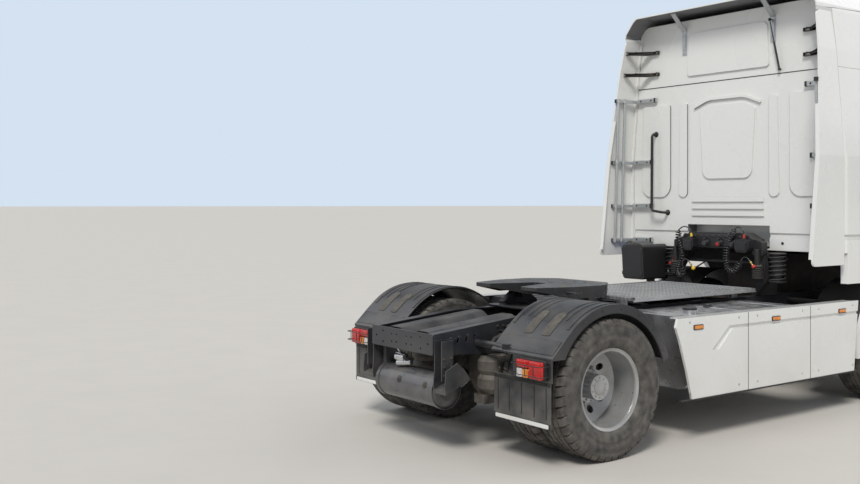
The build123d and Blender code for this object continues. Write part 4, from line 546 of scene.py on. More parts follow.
AIR_LINES = {
    "left": {
        "start": ((.262, -.608, 1.51), (.268, -.608, 1.562), (.304, -.604, 1.602), (.362, -.6, 1.606),
                  (.408, -.598, 1.572)),
        "coil": ((.424, -.598, 1.5), (.39, -.599, 1.425), (.37, -.6, 1.348), (.368, -.6, 1.286),
                 (.406, -.592, 1.222), (.412, -.576, 1.164), (.376, -.562, 1.122), (.33, -.55, 1.126),
                 (.306, -.543, 1.166)),
        "end": ((.316, -.54, 1.212), (.32, -.54, 1.243), (.313, -.54, 1.268), (.293, -.54, 1.284),
                (.268, -.541, 1.286), (.247, -.542, 1.272), (.224, -.544, 1.243)),
        "turns": 25,
    },
    "right": {
        "start": ((-.354, -.608, 1.51), (-.352, -.608, 1.55), (-.34, -.606, 1.584), (-.316, -.603, 1.606),
                  (-.286, -.6, 1.61), (-.262, -.598, 1.596)),
        "coil": ((-.222, -.598, 1.545), (-.184, -.598, 1.472), (-.164, -.598, 1.396), (-.159, -.598, 1.318),
                 (-.164, -.594, 1.248), (-.2, -.588, 1.192), (-.256, -.582, 1.186), (-.306, -.578, 1.232)),
        "end": ((-.343, -.576, 1.29), (-.356, -.576, 1.314), (-.376, -.576, 1.33), (-.401, -.576, 1.331),
                (-.422, -.577, 1.316), (-.443, -.578, 1.29)),
        "turns": 24,
    },
}
LINE_DIAMETER = .012
COIL_RADIUS = .027
PER_TURN = 14


def nurbs(name, points, radius):
    curve = bpy.data.curves.new(name, "CURVE")
    curve.dimensions = "3D"
    spline = curve.splines.new("NURBS")
    spline.points.add(len(points) - 1)
    for place, point in zip(spline.points, points):
        place.co = (*point, 1.0)
    spline.order_u = 3
    spline.use_endpoint_u = True
    spline.resolution_u = 4
    curve.bevel_depth = radius
    curve.bevel_resolution = 3
    curve.use_fill_caps = True
    return new_object(name, curve)


def curve_points(points):
    """Places along the smooth line that a route's points give."""
    guide = nurbs("guide", points, 0.0)
    guide.data.splines[0].resolution_u = 24
    mesh = bpy.data.meshes.new_from_object(guide)
    found = [v.co.copy() for v in mesh.vertices]
    bpy.data.objects.remove(guide)
    bpy.data.meshes.remove(mesh)
    return found


def helix(points, count):
    """Points that wind round a line, growing from it at one end and closing on it at the other."""
    line = curve_points(points)
    lengths = [0.0]
    for a, b in zip(line, line[1:]):
        lengths.append(lengths[-1] + (b - a).length)
    steps = count * PER_TURN
    out = []
    side = Vector(AFT)
    at = 0
    for k in range(1, steps):
        want = lengths[-1] * k / steps
        while lengths[at + 1] < want:
            at += 1
        share = (want - lengths[at]) / (lengths[at + 1] - lengths[at])
        centre = line[at].lerp(line[at + 1], share)
        along = (line[at + 1] - line[at]).normalized()
        side = (side - along * side.dot(along)).normalized()
        reach = COIL_RADIUS * min(1.0, k / PER_TURN, (steps - k) / PER_TURN)
        angle = 2 * math.pi * k / PER_TURN
        out.append(centre + (side * math.cos(angle) + along.cross(side) * math.sin(angle)) * reach)
    return out


def line_length(points):
    line = curve_points(points)
    return sum((b - a).length for a, b in zip(line, line[1:]))


for word, line in AIR_LINES.items():
    start, end = line["start"], line["end"]
    coil = helix([start[-1], *line["coil"], end[0]], line["turns"])
    route = list(start[:-1]) + coil + list(end[1:])
    cord = nurbs("air_line_" + word + "_hose", route, LINE_DIAMETER / 2)
    cord.data.materials.append(LINE)
    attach(cord, "chassis")
    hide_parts("air_line_" + word)
    before, last = Vector(end[-2]), Vector(end[-1])
    reach = (last - before).normalized()
    colour = YELLOW if word == "left" else SLEEVE
    neck = Shape().lathe(
        [(0.0, .0072), (.006, .0098), (.014, .0098), (.016, .0085), (.04, .0085), (.042, .01), (.046, .01)],
        last, reach, 20,
    )
    plug = neck.make("coupling_neck_" + word, BRASS)
    head = Shape().lathe(
        [(.044, .01), (.045, .018), (.05, .0188), (.064, .0188), (.07, .0165)], last, reach, 24,
    )
    flank = reach.orthogonal().normalized()
    for turn in turns(12):
        out = flank * math.cos(turn) + reach.cross(flank) * math.sin(turn)
        head.tube([last + reach * along + out * .0178 for along in (.0505, .063)], .0011, 6)
    cap = head.make("coupling_head_" + word, colour, slot="brass", replaces=("air_line_plugs",))
    rise = (Vector(start[1]) - Vector(start[0])).normalized()
    boot = Shape().lathe(
        [
            (-.004, .0135), (.004, .0135), (.006, .0115), (.009, .013), (.012, .0108), (.015, .0122),
            (.018, .01), (.021, .0112), (.024, .0088), (.032, .0075),
        ],
        start[0], rise, 20,
    )
    relief = boot.make("line_boot_" + word, colour, slot="rubber")
    line_length(route)

# Finishes of the solids that stay

SURFACES = {
    RIM: "rim_front rims_rear", IRON: "knuckle front_axle rear_axle drive_train", BELLOWS: "air_springs",
    FRAME: "frame_rails crossmembers frame_tail coupling_mount", TANK: "rear_air_tank",
    GREASE: "coupling_plate",
    GUARD: "rear_mudguards axle_cover", PLATE: "deck", ALUMINIUM: "fuel_tank",
    BLACK: "left_boxes radiator headlamps portal air_filter mirror door_handle grab_rail", STEP: "steps",
    WHITE: "side_skirts bumper side_fairings cab_shell cab_roof roof_deflector front_lid",
    DOOR: "door_left door_right", RUBBER: "front_guards", ZINC: "back_wall_fittings", GLASS: "door_glass",
    SCREEN: "windscreen", INSIDE: "dashboard sun_visor", RED: "tail_lamps", TREAD: "tyre", CLOTH: "seats",
    PAD: "bunk", LINE: "air_line", LEATHER: "steering_wheel",
}
finish_of = {name: surface for surface, names in SURFACES.items() for name in names.split()}
for name, node in NODES.items():
    surface = finish_of.get(name) or next(
        found for start, found in finish_of.items() if name.startswith(start)
    )
    node.data.materials.clear()
    node.data.materials.append(surface)


def part_of(name, surface, wanted):
    """Gives another surface to a solid's faces whose middle and normal pass a test."""
    mesh = NODES[name].data
    mesh.materials.append(surface)
    index = len(mesh.materials) - 1
    for face in mesh.polygons:
        if wanted(face.center, face.normal):
            face.material_index = index


def inner(c, n, middle=Vector((0, -1.9, 2.35))):
    """Faces that look towards the middle of the cab."""
    return n.dot(c - middle) < 0


def in_grille(c, n):
    """Faces in the depth of the front lid's slots."""
    lid = CAB_FRONT + .056 * max(0.0, abs(c.x) / .73) ** 2.2
    deep = c.y > max(FRONT + .088, lid + .009)
    return n.y < -.7 and deep and any(z < c.z < z + .064 for z in (1.23, 1.315, 1.4, 1.635, 1.735))


part_of("cab_shell", INSIDE, lambda c, n: inner(c, n) and c.z > 1.47)
part_of("cab_shell", FRAME, lambda c, n: c.z < 1.43 and (n.z < -.5 or abs(c.x) < .5 or inner(c, n)))
part_of("cab_shell", CARPET, lambda c, n: n.z > .7 and 1.455 < c.z < 1.47)
part_of("cab_roof", LINING, inner)
for side, word in SIDES:
    part_of("door_" + word, INSIDE, lambda c, n: n.x * c.x < -.3 * abs(c.x))
part_of("front_guards", WHITE, lambda c, n: abs(c.x) > HALF - .041 and c.y > FRONT_AXLE)
part_of("roof_deflector", INSIDE, lambda c, n: inner(c, n, Vector((0, -1.2, 3.3))) and n.y < .8)
part_of("front_lid", BLACK, in_grille)
part_of("bumper", FRAME, lambda c, n: abs(c.x) < .7 and c.y > FRONT + .05)


# Wheels

# Half a tyre's section: distance from its middle, radius, and 1 for ribs or 2 for blocks that grooves cut
SECTION = [
    (.013, .5065, 1), (.016, .493, 0), (.026, .493, 0), (.029, .507, 1), (.066, .507, 1), (.069, .493, 0),
    (.079, .493, 0), (.082, .507, 2), (.118, .5062, 2), (.13, .5035, 2), (.138, .496, 2), (.143, .482, 2),
    (.147, .47, 0), (.1505, .462, 0), (.149, .457, 0), (.1535, .44, 0), (.1555, .418, 0),
    (.1555, .404, 0), (.1535, .401, 0), (.153, .376, 0), (.1552, .372, 0), (.1552, .362, 0),
    (.1515, .354, 0), (.147, .336, 0), (.1385, .318, 0), (.127, .302, 0), (.113, .289, 0),
    (.1, .2885, 0),
]
# The outer edge of a rim: distance from the wheel's middle, and radius
RIM_EDGE = [
    (.098, .27), (.108, .272), (.114, .28), (.1185, .2895), (.1225, .2935), (.1225, .2965),
    (.1175, .296), (.1135, .288), (.106, .286), (.098, .28),
]


def tyre(shape, x, pitches, cut, slant):
    """Rings of points round a wheel; each pitch of the tread has one groove, cut deep and slanted."""
    rows = SECTION + [(-a, r, kind) for a, r, kind in reversed(SECTION)]
    marks = [(0.0, 0), (.035, 1), (.17, 1), (.205, 0), (.6, 0)]
    verts = []
    for a, radius, kind in rows:
        shift = slant * abs(a) / .14 + (.5 if a < 0 else 0.0)
        for k in range(pitches):
            for share, low in marks:
                turn = 2 * math.pi * (k + share + shift) / pitches
                r = radius - (cut if kind == 2 else .004 if kind == 1 else 0.0) * low
                verts.append((x + a, r * math.cos(turn), r * math.sin(turn)))
    shape.add(verts, bands(len(rows), pitches * len(marks), True))


def wheel_trim(side, middle, disc, cap, hub):
    """Rim edge, nuts, bolts and valve; cap is place, bolt circle and radius, hub is place and bolt circle."""
    shape = Shape()
    axis = (side, 0, 0)
    shape.lathe([(side * (middle + a), r) for a, r in RIM_EDGE], (0, 0, 0), ACROSS, 72, ring=True)
    disc_at, cap_at, hub_at = (Vector((side * x, 0, 0)) for x in (disc, cap[0], hub[0]))
    for turn in turns(10, .5):
        out = Vector((0, math.cos(turn), math.sin(turn)))
        shape.bolt(disc_at + out * .139, axis, .0165, .022)
        shape.lathe([(0, .01), (.029, .01), (.031, .008)], disc_at + out * .139, axis, 10)
        shape.bolt(hub_at + out * hub[1], axis, .0075)
        shape.bolt(cap_at + out * cap[1], axis, .0065)
    radius = cap[2]
    shape.lathe([(0, radius), (.004, radius), (.01, radius - .012), (.012, .01)], cap_at, axis, 32)
    stem = Vector((side * (disc + .01), 0.0, .232))
    return shape.tube(
        [stem, stem + Vector((side * .035, 0, .01)), stem + Vector((side * .07, 0, .014))], .004, 8,
    )


WHEELS = (
    ("front", "tyre_front", FRONT_AXLE, (1.04,), (52, .003, .15),
     (1.04, 1.102, (1.182, .052, .04), (1.16, .098))),
    ("rear", "tyres_rear", REAR_AXLE, (1.089, .744), (44, .014, .5),
     (1.089, .9305, (1.1065, .07, .054), (.9765, .106))),
)
for side, word in SIDES:
    for end, tyres, y, middles, tread, trim in WHEELS:
        wheel, hub = "wheel_" + end + "_" + word, (0, y, TYRE)
        form = Shape()
        for x in middles:
            tyre(form, side * x, *tread)
        form.make(
            tyres + "_tread_" + word, SIDEWALL, wheel, smooth=50, replaces=[tyres + "_" + word], origin=hub,
            second=(TREAD, lambda c: c.yz.length > .478),
        )
        wheel_trim(side, *trim).make("wheel_nuts_" + end + "_" + word, RIM, wheel, origin=hub)


# Rear mudguards and lamps

HUB = (REAR_AXLE, TYRE)
ARCH_END = math.radians(47)
SLOPE = [
    Vector((REAR_AXLE + GUARD_RADIUS * math.cos(ARCH_END), TYRE + GUARD_RADIUS * math.sin(ARCH_END))),
    Vector((REAR_AXLE + .47, .905)),
    Vector((REAR_AXLE + .598, .782)),
]


def over_guard(shape, x, high, start, end):
    """A strip that lies on the mudguard's arch between two angles."""
    outer = arc(HUB, GUARD_RADIUS + high, start, end, 25)
    shape.prism(outer + arc(HUB, GUARD_RADIUS - .003, end, start, 25), 0, *x)


def downhill(a, b):
    """The direction of a slope, and the one square to it."""
    down = (b - a).normalized()
    return down, Vector((-down.y, down.x))


def guard_point(along, height):
    """A point of the mudguard's skin, from the arch's rear end up it or down the slope, lifted by height."""
    if along < 0:
        turn = ARCH_END - along / GUARD_RADIUS
        radius = GUARD_RADIUS + height
        return REAR_AXLE + radius * math.cos(turn), TYRE + radius * math.sin(turn)
    down, square = downhill(*SLOPE[:2])
    return tuple(SLOPE[0] + down * along + square * height)


def grip_pad(shape, middle, half, start, end):
    """A thin pad laid along the mudguard's skin, round at its upper end."""
    columns, rows = 9, 15
    verts, faces = [], []
    for height in (.0045, -.002):
        for i in range(columns):
            u = -1 + 2 * i / (columns - 1)
            cut = half * (1 - math.sqrt(1 - u * u))
            for j in range(rows):
                along = start + cut + (end - start - 1.2 * cut) * j / (rows - 1)
                verts.append((middle + u * half, *guard_point(along, height)))
    size = columns * rows
    for i in range(columns - 1):
        for j in range(rows - 1):
            a, b = i * rows + j, (i + 1) * rows + j
            faces += [[a, b, b + 1, a + 1], [size + a + 1, size + b + 1, size + b, size + a]]
    rim = [i * rows for i in range(columns)] + [(columns - 1) * rows + j for j in range(1, rows)]
    rim += [i * rows + rows - 1 for i in range(columns - 2, -1, -1)] + list(range(rows - 2, 0, -1))
    faces += [[b, a, size + a, size + b] for a, b in zip(rim, rim[1:] + rim[:1])]
    shape.add(verts, faces)


LENSES = (
    (RED, "red", (1.07, 1.198), (.635, .756)), (RED, "brake", (.942, 1.062), (.702, .756)),
    (PALE, "reverse", (.942, 1.0), (.635, .694)), (AMBER, "turn", (1.006, 1.062), (.635, .694)),
)
ridges = Shape()
for x in (.664, .728, .792, 1.052, 1.116, 1.176):
    over_guard(ridges, near(x, .008), .004, 152, 56)
for x in (.64, 1.196):
    over_guard(ridges, near(x, .012), .006, 160, 48)
over_guard(ridges, (.64, 1.208), .006, 108, 104)
ridges.pair("guard_ridges", GUARD, bevel=.003)
lip = Shape()
lip.tube([(1.2385, y, z) for y, z in arc(HUB, .548, 161, 36, 40)], .0075, 10)
lip.tube([(.611, y, z) for y, z in arc(HUB, .604, 160, 50, 30)], .006, 8)
lip.pair("guard_lip", RUBBER)
pads = Shape()
for x in (.85, 1.03):
    grip_pad(pads, x, .044, -.18, .068)
pads.pair("guard_pads", TAN, bevel=.0015)
panel = Shape()
down, square = downhill(*SLOPE[1:])
top, foot = (SLOPE[1] + (SLOPE[2] - SLOPE[1]) * share for share in (.12, .9))
panel.prism(
    [
        top + square * -.002, foot + square * -.002, foot - down * .01 + square * .005,
        top + down * .01 + square * .005,
    ],
    0, .64, 1.225,
)
panel.box((.865, 1.225), (2.7025, 2.706), (.62, .64))
for x in (.7, .76, .88, 1.215):
    for z in (.655, .752):
        panel.bolt((x, LAMP_Y, z), AFT, .007)
for y, z in arc(HUB, .578, 155, 60, 6):
    panel.bolt((HALF, y, z), ACROSS, .0075, .003)
panel.pair("guard_tail", GUARD, bevel=.002)
flap = Shape()
flap.box((.64, 1.222), (2.6995, 2.7025), (.3, .334))
for x in (.68, .8, .93, 1.06, 1.18):
    flap.bolt((x, 2.6995, .6), AFT, .008)
    flap.box(near(x, .004), (2.6985, 2.7012), (.36, .58), .003, 1, 2)
flap.box((.64, 1.222), (2.6985, 2.7025), (.588, .612))
flap.pair("flap_ribs", RUBBER, bevel=.001)
strip = Shape().box((.655, 1.207), (2.7022, 2.704), (.302, .331), .006, 1, 3)
strip.pair("flap_strip", WHITE)
housing = Shape()
housing.box((.935, 1.205), (LAMP_Y, 2.738), (.628, .762), .018, 1)
housing.box((.928, 1.212), (2.724, 2.731), (.622, .767), .022, 1)
housing.tube([(1.0, 2.7, .66), (1.0, 2.66, .64), (.93, 2.62, .66), (.8, 2.6, .78)], .008)
hoop = ((.918, 2.712), (.918, 2.786), (.936, 2.797), (1.206, 2.797), (1.222, 2.786), (1.222, 2.712))
for z in (.66, .73):
    housing.tube([(x, y, z) for x, y in hoop], .0035, 8)
for x in (.985, 1.07, 1.155):
    housing.tube([(x, 2.797, .66), (x, 2.797, .73)], .0032, 8)
housing.pair("lamp_housing", BLACK, bevel=.002, replaces=["tail_lamps"])
for surface, kind, (x0, x1), (z0, z1) in LENSES:
    cover = Shape().box((x0, x1), (2.736, 2.762), (z0, z1), .012, 1)
    cover.box((x0 + .008, x1 - .008), (2.76, 2.768), (z0 + .008, z1 - .008), .009, 1)
    cover.pair("lamp_lens_" + kind, surface, bevel=.003)

# Back of the cab

roof_seam = Shape().box((-1.15, 1.15), (CAB_BACK - .001, CAB_BACK + .0022), near(SEAM, .004))
roof_seam.make("roof_seam_back", RUBBER, "cab")

brackets = Shape()
for x in (-.52, .52):
    brackets.prism(
        [(-.8255, 3.35), (-.8185, 3.35), (-.8185, 3.585), (-.64, 3.748), (-.64, 3.762), (-.8255, 3.597)], 0,
        *near(x, .027),
    )
    brackets.prism([(-.819, 3.4), (-.8125, 3.405), (-.8125, 3.56), (-.819, 3.565)], 0, *near(x, .018))
    for y, z in ((-.8185, 3.37), (-.8125, 3.43), (-.8125, 3.54)):
        brackets.bolt((x, y, z), AFT, .0075)
brackets.make("roof_brackets", ZINC, "cab", bevel=.0015)

strut = Shape()
low, high = Vector((-.605, -.796, 3.085)), Vector((-.512, -.78, 3.56))
strut.tube([low, low.lerp(high, .55)], .0095, 12)
strut.tube([low.lerp(high, .54), high], .005, 10)
for end in (low, high):
    strut.lathe([(-.014, .006), (-.01, .0125), (0.0, .015), (.01, .0125), (.014, .006)], end, UP, 14)
    strut.tube([end, (end.x, CAB_BACK + .002, end.z)], .006, 8)
strut.make("roof_strut", BLACK, "cab")

hangers = Shape()
for z, out in ((3.175, 1.158), (3.4, 1.128)):
    plan = [(.85, -.825), (.9, -.825), (out, -.628), (out, -.6), (out - .03, -.6), (1.0, -.795), (.85, -.795)]
    hangers.prism(plan, 2, z, z + .006)
    hangers.prism(plan, 2, z + .028, z + .034)
    hangers.box((.85, .856), (-.825, -.795), (z, z + .034))
    hangers.prism([(.9, -.825), (.906, -.825), (out, -.634), (out, -.628)], 2, z, z + .034)
    hangers.bolt((.88, -.81, z + .034), UP, .008)
    hangers.bolt((1.06, -.69, z + .034), UP, .007)
hangers.mirrored().make("fairing_hangers", IRON, "cab", bevel=.001)

clamps = Shape()
for y, drop in ((CAB_BACK + .21, .0216), (CAB_BACK + .3, .0309)):
    low, high = Vector((HALF - .07 + drop, y, 1.42)), Vector((HALF - .122 + drop, y, 2.93))
    for z in (1.445, 1.805, 2.265, 2.915):
        at = low.lerp(high, (z - low.z) / (high.z - low.z))
        clamps.lathe([(-.022, .0165), (-.02, .0185), (.02, .0185), (.022, .0165)], at, high - low, 14)
        clamps.bolt(at + Vector((0, .018, 0)), AFT, .006)
clamps.mirrored().make("tube_clamps", ZINC, "cab")

ends = Shape()
for z, lean in ((1.43, 0.0), (1.79, 0.0), (2.25, .0025), (2.9, .056)):
    out = HALF - .004 - lean
    tip = [(out - .036, -.545), (out - .004, -.545), (out - .002, -.493), (out - .034, -.493)]
    ends.prism(rounded(tip, .004, 2), 2, z - .003, z + .034)
    ends.box((out - .31, out - .29), (-.812, -.779), (z - .003, z + .043))
    for x in (out - .25, out - .11):
        ends.bolt((x, -.783, z + .02), AFT, .008)
ends.mirrored().make("arm_ends", RUBBER, "cab", bevel=.002)

feet = Shape()
for at in ((.885, CAB_BACK + .014, 2.56), (.741, CAB_BACK, 1.74)):
    feet.lathe([(0, .03), (.004, .03), (.006, .026), (.014, .02)], at, AFT, 20)
for k in range(12):
    z = 1.86 + k * .055
    feet.lathe(
        [(-.004, .0142), (-.002, .0152), (.002, .0152), (.004, .0142)],
        (.885 + (2.56 - z) * .0075, CAB_BACK + .08, z), UP, 16,
    )
feet.make("grab_rail_feet", RUBBER, "cab")

plugs = Shape()
for x in (-1.02, -.66, .66, 1.02):
    plugs.bolt((x, CAB_BACK, 1.315), AFT, .01)
for x in (-.62, .62):
    plugs.lathe([(0, .014), (.003, .014), (.005, .01)], (x, CAB_BACK, 1.46), AFT, 16)
plugs.make("back_wall_plugs", RUBBER, "cab")

joins = Shape()
for side in (-1, 1):
    section = ((1.104, 3.541), (1.1165, 3.541), (1.1205, 3.574), (1.108, 3.574))
    joins.prism([(side * x, z) for x, z in section], 1, -.818, -.596)
joins.make("fairing_joins", WHITE, "cab")

# Portal behind the cab

cover = Shape()
cover.prism(rounded([(-.415, 1.418), (.415, 1.418), (.385, 1.536), (-.385, 1.536)], .02), 1, -.648, -.638)
for k in range(8):
    x = -.3 + k * .075
    cover.prism([(x, 1.505), (x + .036, 1.505), (x + .05, 1.526), (x + .014, 1.526)], 1, -.64, -.632)
for side in (-1, 1):
    cheek = ((.4, 1.35), (.52, 1.34), (.52, 1.47), (.43, 1.5))
    foot = ((.43, 1.1), (.5, 1.1), (.52, 1.35), (.42, 1.35))
    cover.prism(rounded([(side * x, z) for x, z in cheek], .015), 1, -.735, -.655)
    cover.prism(rounded([(side * x, z) for x, z in foot], .012), 1, -.72, -.7)
cover.make("portal_cover", BLACK, bevel=.004)

pods = Shape()
for x, half in ((.272, .05), (-.352, .064)):
    pods.box(near(x, half), (-.565, -.556), (1.384, 1.48), .014, 1)
    pods.box((x - half + .012, x + half - .012), (-.557, -.55), (1.396, 1.468), .01, 1)
    pods.lathe([(0, .021), (.016, .019), (.018, .015)], (x, -.608, 1.49), UP, 18)
    for dx in (-half + .008, half - .008):
        pods.bolt((x + dx, -.556, 1.432), AFT, .004)
pods.make("portal_pods", BLACK, bevel=.002)

SOCKET = [(0, .034), (.012, .034), (.014, .03), (.046, .029), (.048, .024), (.052, .024)]
LID = [(.0522, .019), (.054, .019), (.055, .017)]
SOCKET_Z, SOCKET_AXIS = 1.452, (0, 1, -.25)
sockets, grey, red = Shape(), Shape(), Shape()
for x, lids in ((-.21, grey), (-.06, red), (.1, grey)):
    sockets.lathe(SOCKET, (x, -.64, SOCKET_Z), SOCKET_AXIS, 24)
    sockets.box(near(x, .012), (-.64, -.6), (SOCKET_Z + .026, SOCKET_Z + .046), .004, 1, 2)
    lids.lathe(LID, (x, -.64, SOCKET_Z), SOCKET_AXIS, 20)
sockets.make("trailer_sockets", BLACK, bevel=.001)
grey.make("socket_lids_grey", TANK)
red.lathe([(0, .02), (.022, .02), (.026, .016)], (.5, -.655, 1.275), AFT, 18)
red.lathe([(0, .014), (.018, .014), (.021, .01)], (.56, -.655, 1.23), AFT, 18)
red.make("valve_knobs_red", SLEEVE)

springs, boots = Shape(), Shape()
wave = [(.018 * k + z, radius) for k in range(7) for z, radius in ((0.0, .04), (.006, .052), (.012, .052))]
for side in (-1, 1):
    x, y = side * .61, -.755
    wire = []
    for k in range(97):
        turn = k * math.pi / 8
        wire.append((x + .072 * math.cos(turn), y + .072 * math.sin(turn), 1.115 + .245 * k / 96))
    springs.tube(wire, .0085, 8)
    for z in (1.108, 1.366):
        springs.lathe([(-.005, .084), (.005, .084), (.007, .06)], (x, y, z), UP, 28)
    boots.lathe([(-.004, .03), *wave, (.13, .03)], (side * .48, -.64, 1.13), (0, .05, 1), 22)
    boots.lathe([(0, .024), (.15, .024)], (side * .48, -.634, 1.255), (0, .05, 1), 16)
springs.make("cab_springs", BLACK)
boots.make("damper_boots", RUBBER)

intake = Shape()
DUCT = Vector((.21, 0, .042))
for k in range(5):
    at = Vector((.93, CAB_BACK + .2, 1.316)) + DUCT * (k * .19)
    intake.lathe([(0.0, .0885), (.01, .094), (.02, .0885)], at, DUCT, 30)
intake.prism(
    rounded([(.722, 1.075), (.964, 1.075), (.98, 1.392), (.735, 1.404)], .03), 1, CAB_BACK + .418,
    CAB_BACK + .424,
)
for x, z in ((.728, 1.12), (.728, 1.36), (.975, 1.12), (.985, 1.36)):
    intake.box(near(x, .012), (CAB_BACK + .39, CAB_BACK + .4265), near(z, .018))
intake.make("intake_ribs", BLACK, bevel=.002)
cap = Shape().lathe(
    [(0.0, .07), (.004, .078), (.02, .078), (.028, .06), (.03, .02)], (1.108, CAB_BACK + .2, 1.3515), DUCT,
    30,
)
cap.make("intake_cap", BLUE)

# Deck, frame and rear end

edges = Shape()
for side in (-1, 1):
    section = ((.566, 1.02), (.566, 1.056), (.54, 1.056), (.54, 1.051), (.561, 1.05), (.561, 1.02))
    edges.prism([(side * x, z) for x, z in section], 1, -.494, 1.149)
    for k in range(12):
        edges.lathe([(0, .009), (.002, .009), (.004, .006)], (side * .552, -.43 + k * .136, 1.0555), UP, 12)
for y in (-.494, 1.133):
    edges.box((-.566, .566), (y, y + .016), (1.036, 1.056))
for x in (-.25, .25):
    edges.box(near(x, .06), (.98, 1.06), (1.0495, 1.0565), .012)
edges.make("deck_edges", ALUMINIUM, bevel=.0015)

rivets = Shape()
for y, columns in ((-2.3, 2), (-1.1, 2), (-.26, 3), (.64, 3), (1.34, 2), (1.75, 2), (2.405, 3)):
    for i in range(columns):
        for z in (.765, .905):
            rivets.bolt((RAIL, y + (i - (columns - 1) / 2) * .06, z), ACROSS, .011)
for y in (2.975, 3.04):
    for z in (.6, .66, .72):
        rivets.bolt((.487, y, z), ACROSS, .01)
rivets.mirrored().make("frame_bolts", IRON)

seat = Shape()
for side in (-1, 1):
    for y in (-.16, -.06, .06, .16):
        seat.bolt((side * .425, PIN + y, 1.0), UP, .013)
    seat.lathe([(0, .034), (.006, .034), (.008, .026)], (side * .474, PIN, 1.062), (side, 0, 0), 24)
seat.make("seat_bolts", IRON)

jaw = Shape().lathe(
    [(-.058, .0265), (-.058, .052), (-.012, .056), (-.006, .046), (-.006, .0265)], (0, PIN, 1.17), UP, 40,
    ring=True,
)
jaw.make("coupling_jaw", IRON, "coupling", slot="greased_iron", bevel=.001)
nipples = Shape()
for x, y in ((-.33, 1.72), (.33, 1.72), (-.18, 1.24), (.18, 1.24)):
    nipples.lathe([(0, .013), (.002, .013), (.003, .009), (.0045, .005)], (x, y, 1.1695), UP, 14)
nipples.make("coupling_plugs", BRASS, "coupling", slot="greased_iron")

valve = Shape()
valve.lathe(
    [(-.04, .022), (-.034, .036), (.02, .036), (.026, .026), (.06, .024), (.064, .016)], (-.47, 2.44, .845),
    (.25, 1, -.2), 24,
)
valve.lathe([(0, .02), (.02, .03), (.052, .03), (.06, .018)], (-.47, 2.405, .86), UP, 20)
valve.tube([(-.47, 2.5, .835), (-.475, 2.56, .825), (-.495, 2.6, .8), (-.5, 2.61, .74)], .018, 14)
for z in ((.8, .812), (.868, .874)):
    valve.box((-.452, -.394), (2.395, 2.455), z)
valve.make("relay_valve", IRON, bevel=.0015)

tank = Shape()
axis = Vector((0, .94, .34)).normalized()
for x in (-.265, .06):
    at = Vector((x, *TANK_AT)) + axis * .1285
    tank.lathe([(0, .024), (.006, .024), (.008, .016)], at, axis, 20)
    tank.bolt(at + axis * .006, axis, .01)
for x in (.15, .215):
    tank.lathe([(0, .016), (.022, .016), (.024, .011), (.045, .011)], (x, 2.9, .584), UP, 14)
for x in (-.33, .33):
    tank.lathe(
        [(-.004, .1295), (.004, .1295), (.004, .1325), (-.004, .1325)], (x, *TANK_AT), ACROSS, 48, ring=True,
    )
tank.make("tank_fittings", IRON)

drain = Shape()
drain.lathe(
    [(-.06, .014), (-.056, .033), (.018, .034), (.024, .028), (.05, .028), (.054, .018)],
    (.13, 2.985, .655), (1, .1, 0), 22,
)
drain.tube([(.13, 2.985, .655), (.11, 2.992, .62), (.1, 2.992, .607)], .013, 12)
drain.lathe([(-.075, .01), (-.07, .021), (.07, .021), (.078, .012)], (.085, 2.985, .618), (1, .25, -.1), 20)
drain.box((.105, .165), (2.96, 3.01), (.686, .692))
drain.tube([(.135, y, z) for y, z in ((2.985, .675), (2.985, .69), (3.02, .737), (3.055, .745))], .01, 10)
drain.make("tail_valve", ALUMINIUM, slot="galvanised")


# Sides

def skin(z):
    """Half the cab's width at a height."""
    return HALF - .0821 * max(0.0, z - 2.25)


WINDOW = rounded(
    [(-2.53, 2.19), (-1.595, 2.44), (-1.595, 2.885), (-2.38, 2.885), (-2.53, 2.32)],
    [.05, .06, .08, .06, .07], 6,
)
MIRROR_X = 1.425

rubber = Shape().tube([(skin(z) - .001, y, z) for y, z in WINDOW], .0075, 8, closed=True)
rubber.pair("window_rubber", RUBBER, "door")
lock = Shape()
lock.lathe([(-.002, .015), (.003, .015), (.0045, .012)], (HALF, -1.655, 1.6), ACROSS, 20)
lock.box((HALF + .004, HALF + .0052), (-1.6562, -1.6538), (1.594, 1.606))
lock.pair("door_lock", CHROME, "door")
marks, frames, lines, caps = Shape(), Shape(), Shape(), Shape()
for y in (-.78, .19, 1.18):
    frames.box((HALF - .002, HALF + .0045), near(y, .058), (.868, .908), .01, 0, 4)
    marks.box((HALF + .003, HALF + .009), near(y, .05), (.875, .901), .007, 0, 4)
for y in (-.3, .56):
    lines.box((HALF - .001, HALF + .0006), near(y, .003), (.337, .963))
lines.box((HALF - .02, HALF + .003), (-1.03, 1.38), (.333, .345), axis=0)
for y in (-.95, -.42, -.18, .44, .68, 1.28):
    for z in (.4, .93):
        caps.lathe([(0, .009), (.002, .009), (.0035, .006)], (HALF, y, z), ACROSS, 14)
frames.pair("marker_frames", BLACK, bevel=.001)
marks.pair("marker_lamps", AMBER, bevel=.002)
lines.pair("skirt_lines", RUBBER)
caps.pair("skirt_screws", ALUMINIUM)
trim = Shape()
trim.tube([(HALF - .01, y, z) for y, z in arc((FRONT_AXLE, TYRE), .594, 178, 62, 30)], .006, 8)
for z, out in ((.387, 1.221), (.717, 1.125), (1.057, 1.125)):
    trim.tube([(out, y, z) for y in (-2.61, -2.52, -2.43)], .011, 10)
trim.pair("step_edges", RUBBER)
glass = Shape()
for low, high in ((2.334, 2.478), (2.556, 2.918)):
    glass.box((1.363, 1.487), (0.0, .006), (low, high), .022, 1)
place, normal = touch("mirror_left", (MIRROR_X, 0, 2.7), (0, -1, 0))
tilt = -normal.x / normal.y
glass.verts = [(x, place.y + .0015 + y + (x - MIRROR_X) * tilt, z) for x, y, z in glass.verts]
glass.pair("mirror_glass", MIRROR, "door", bevel=.001)
arms = Shape()
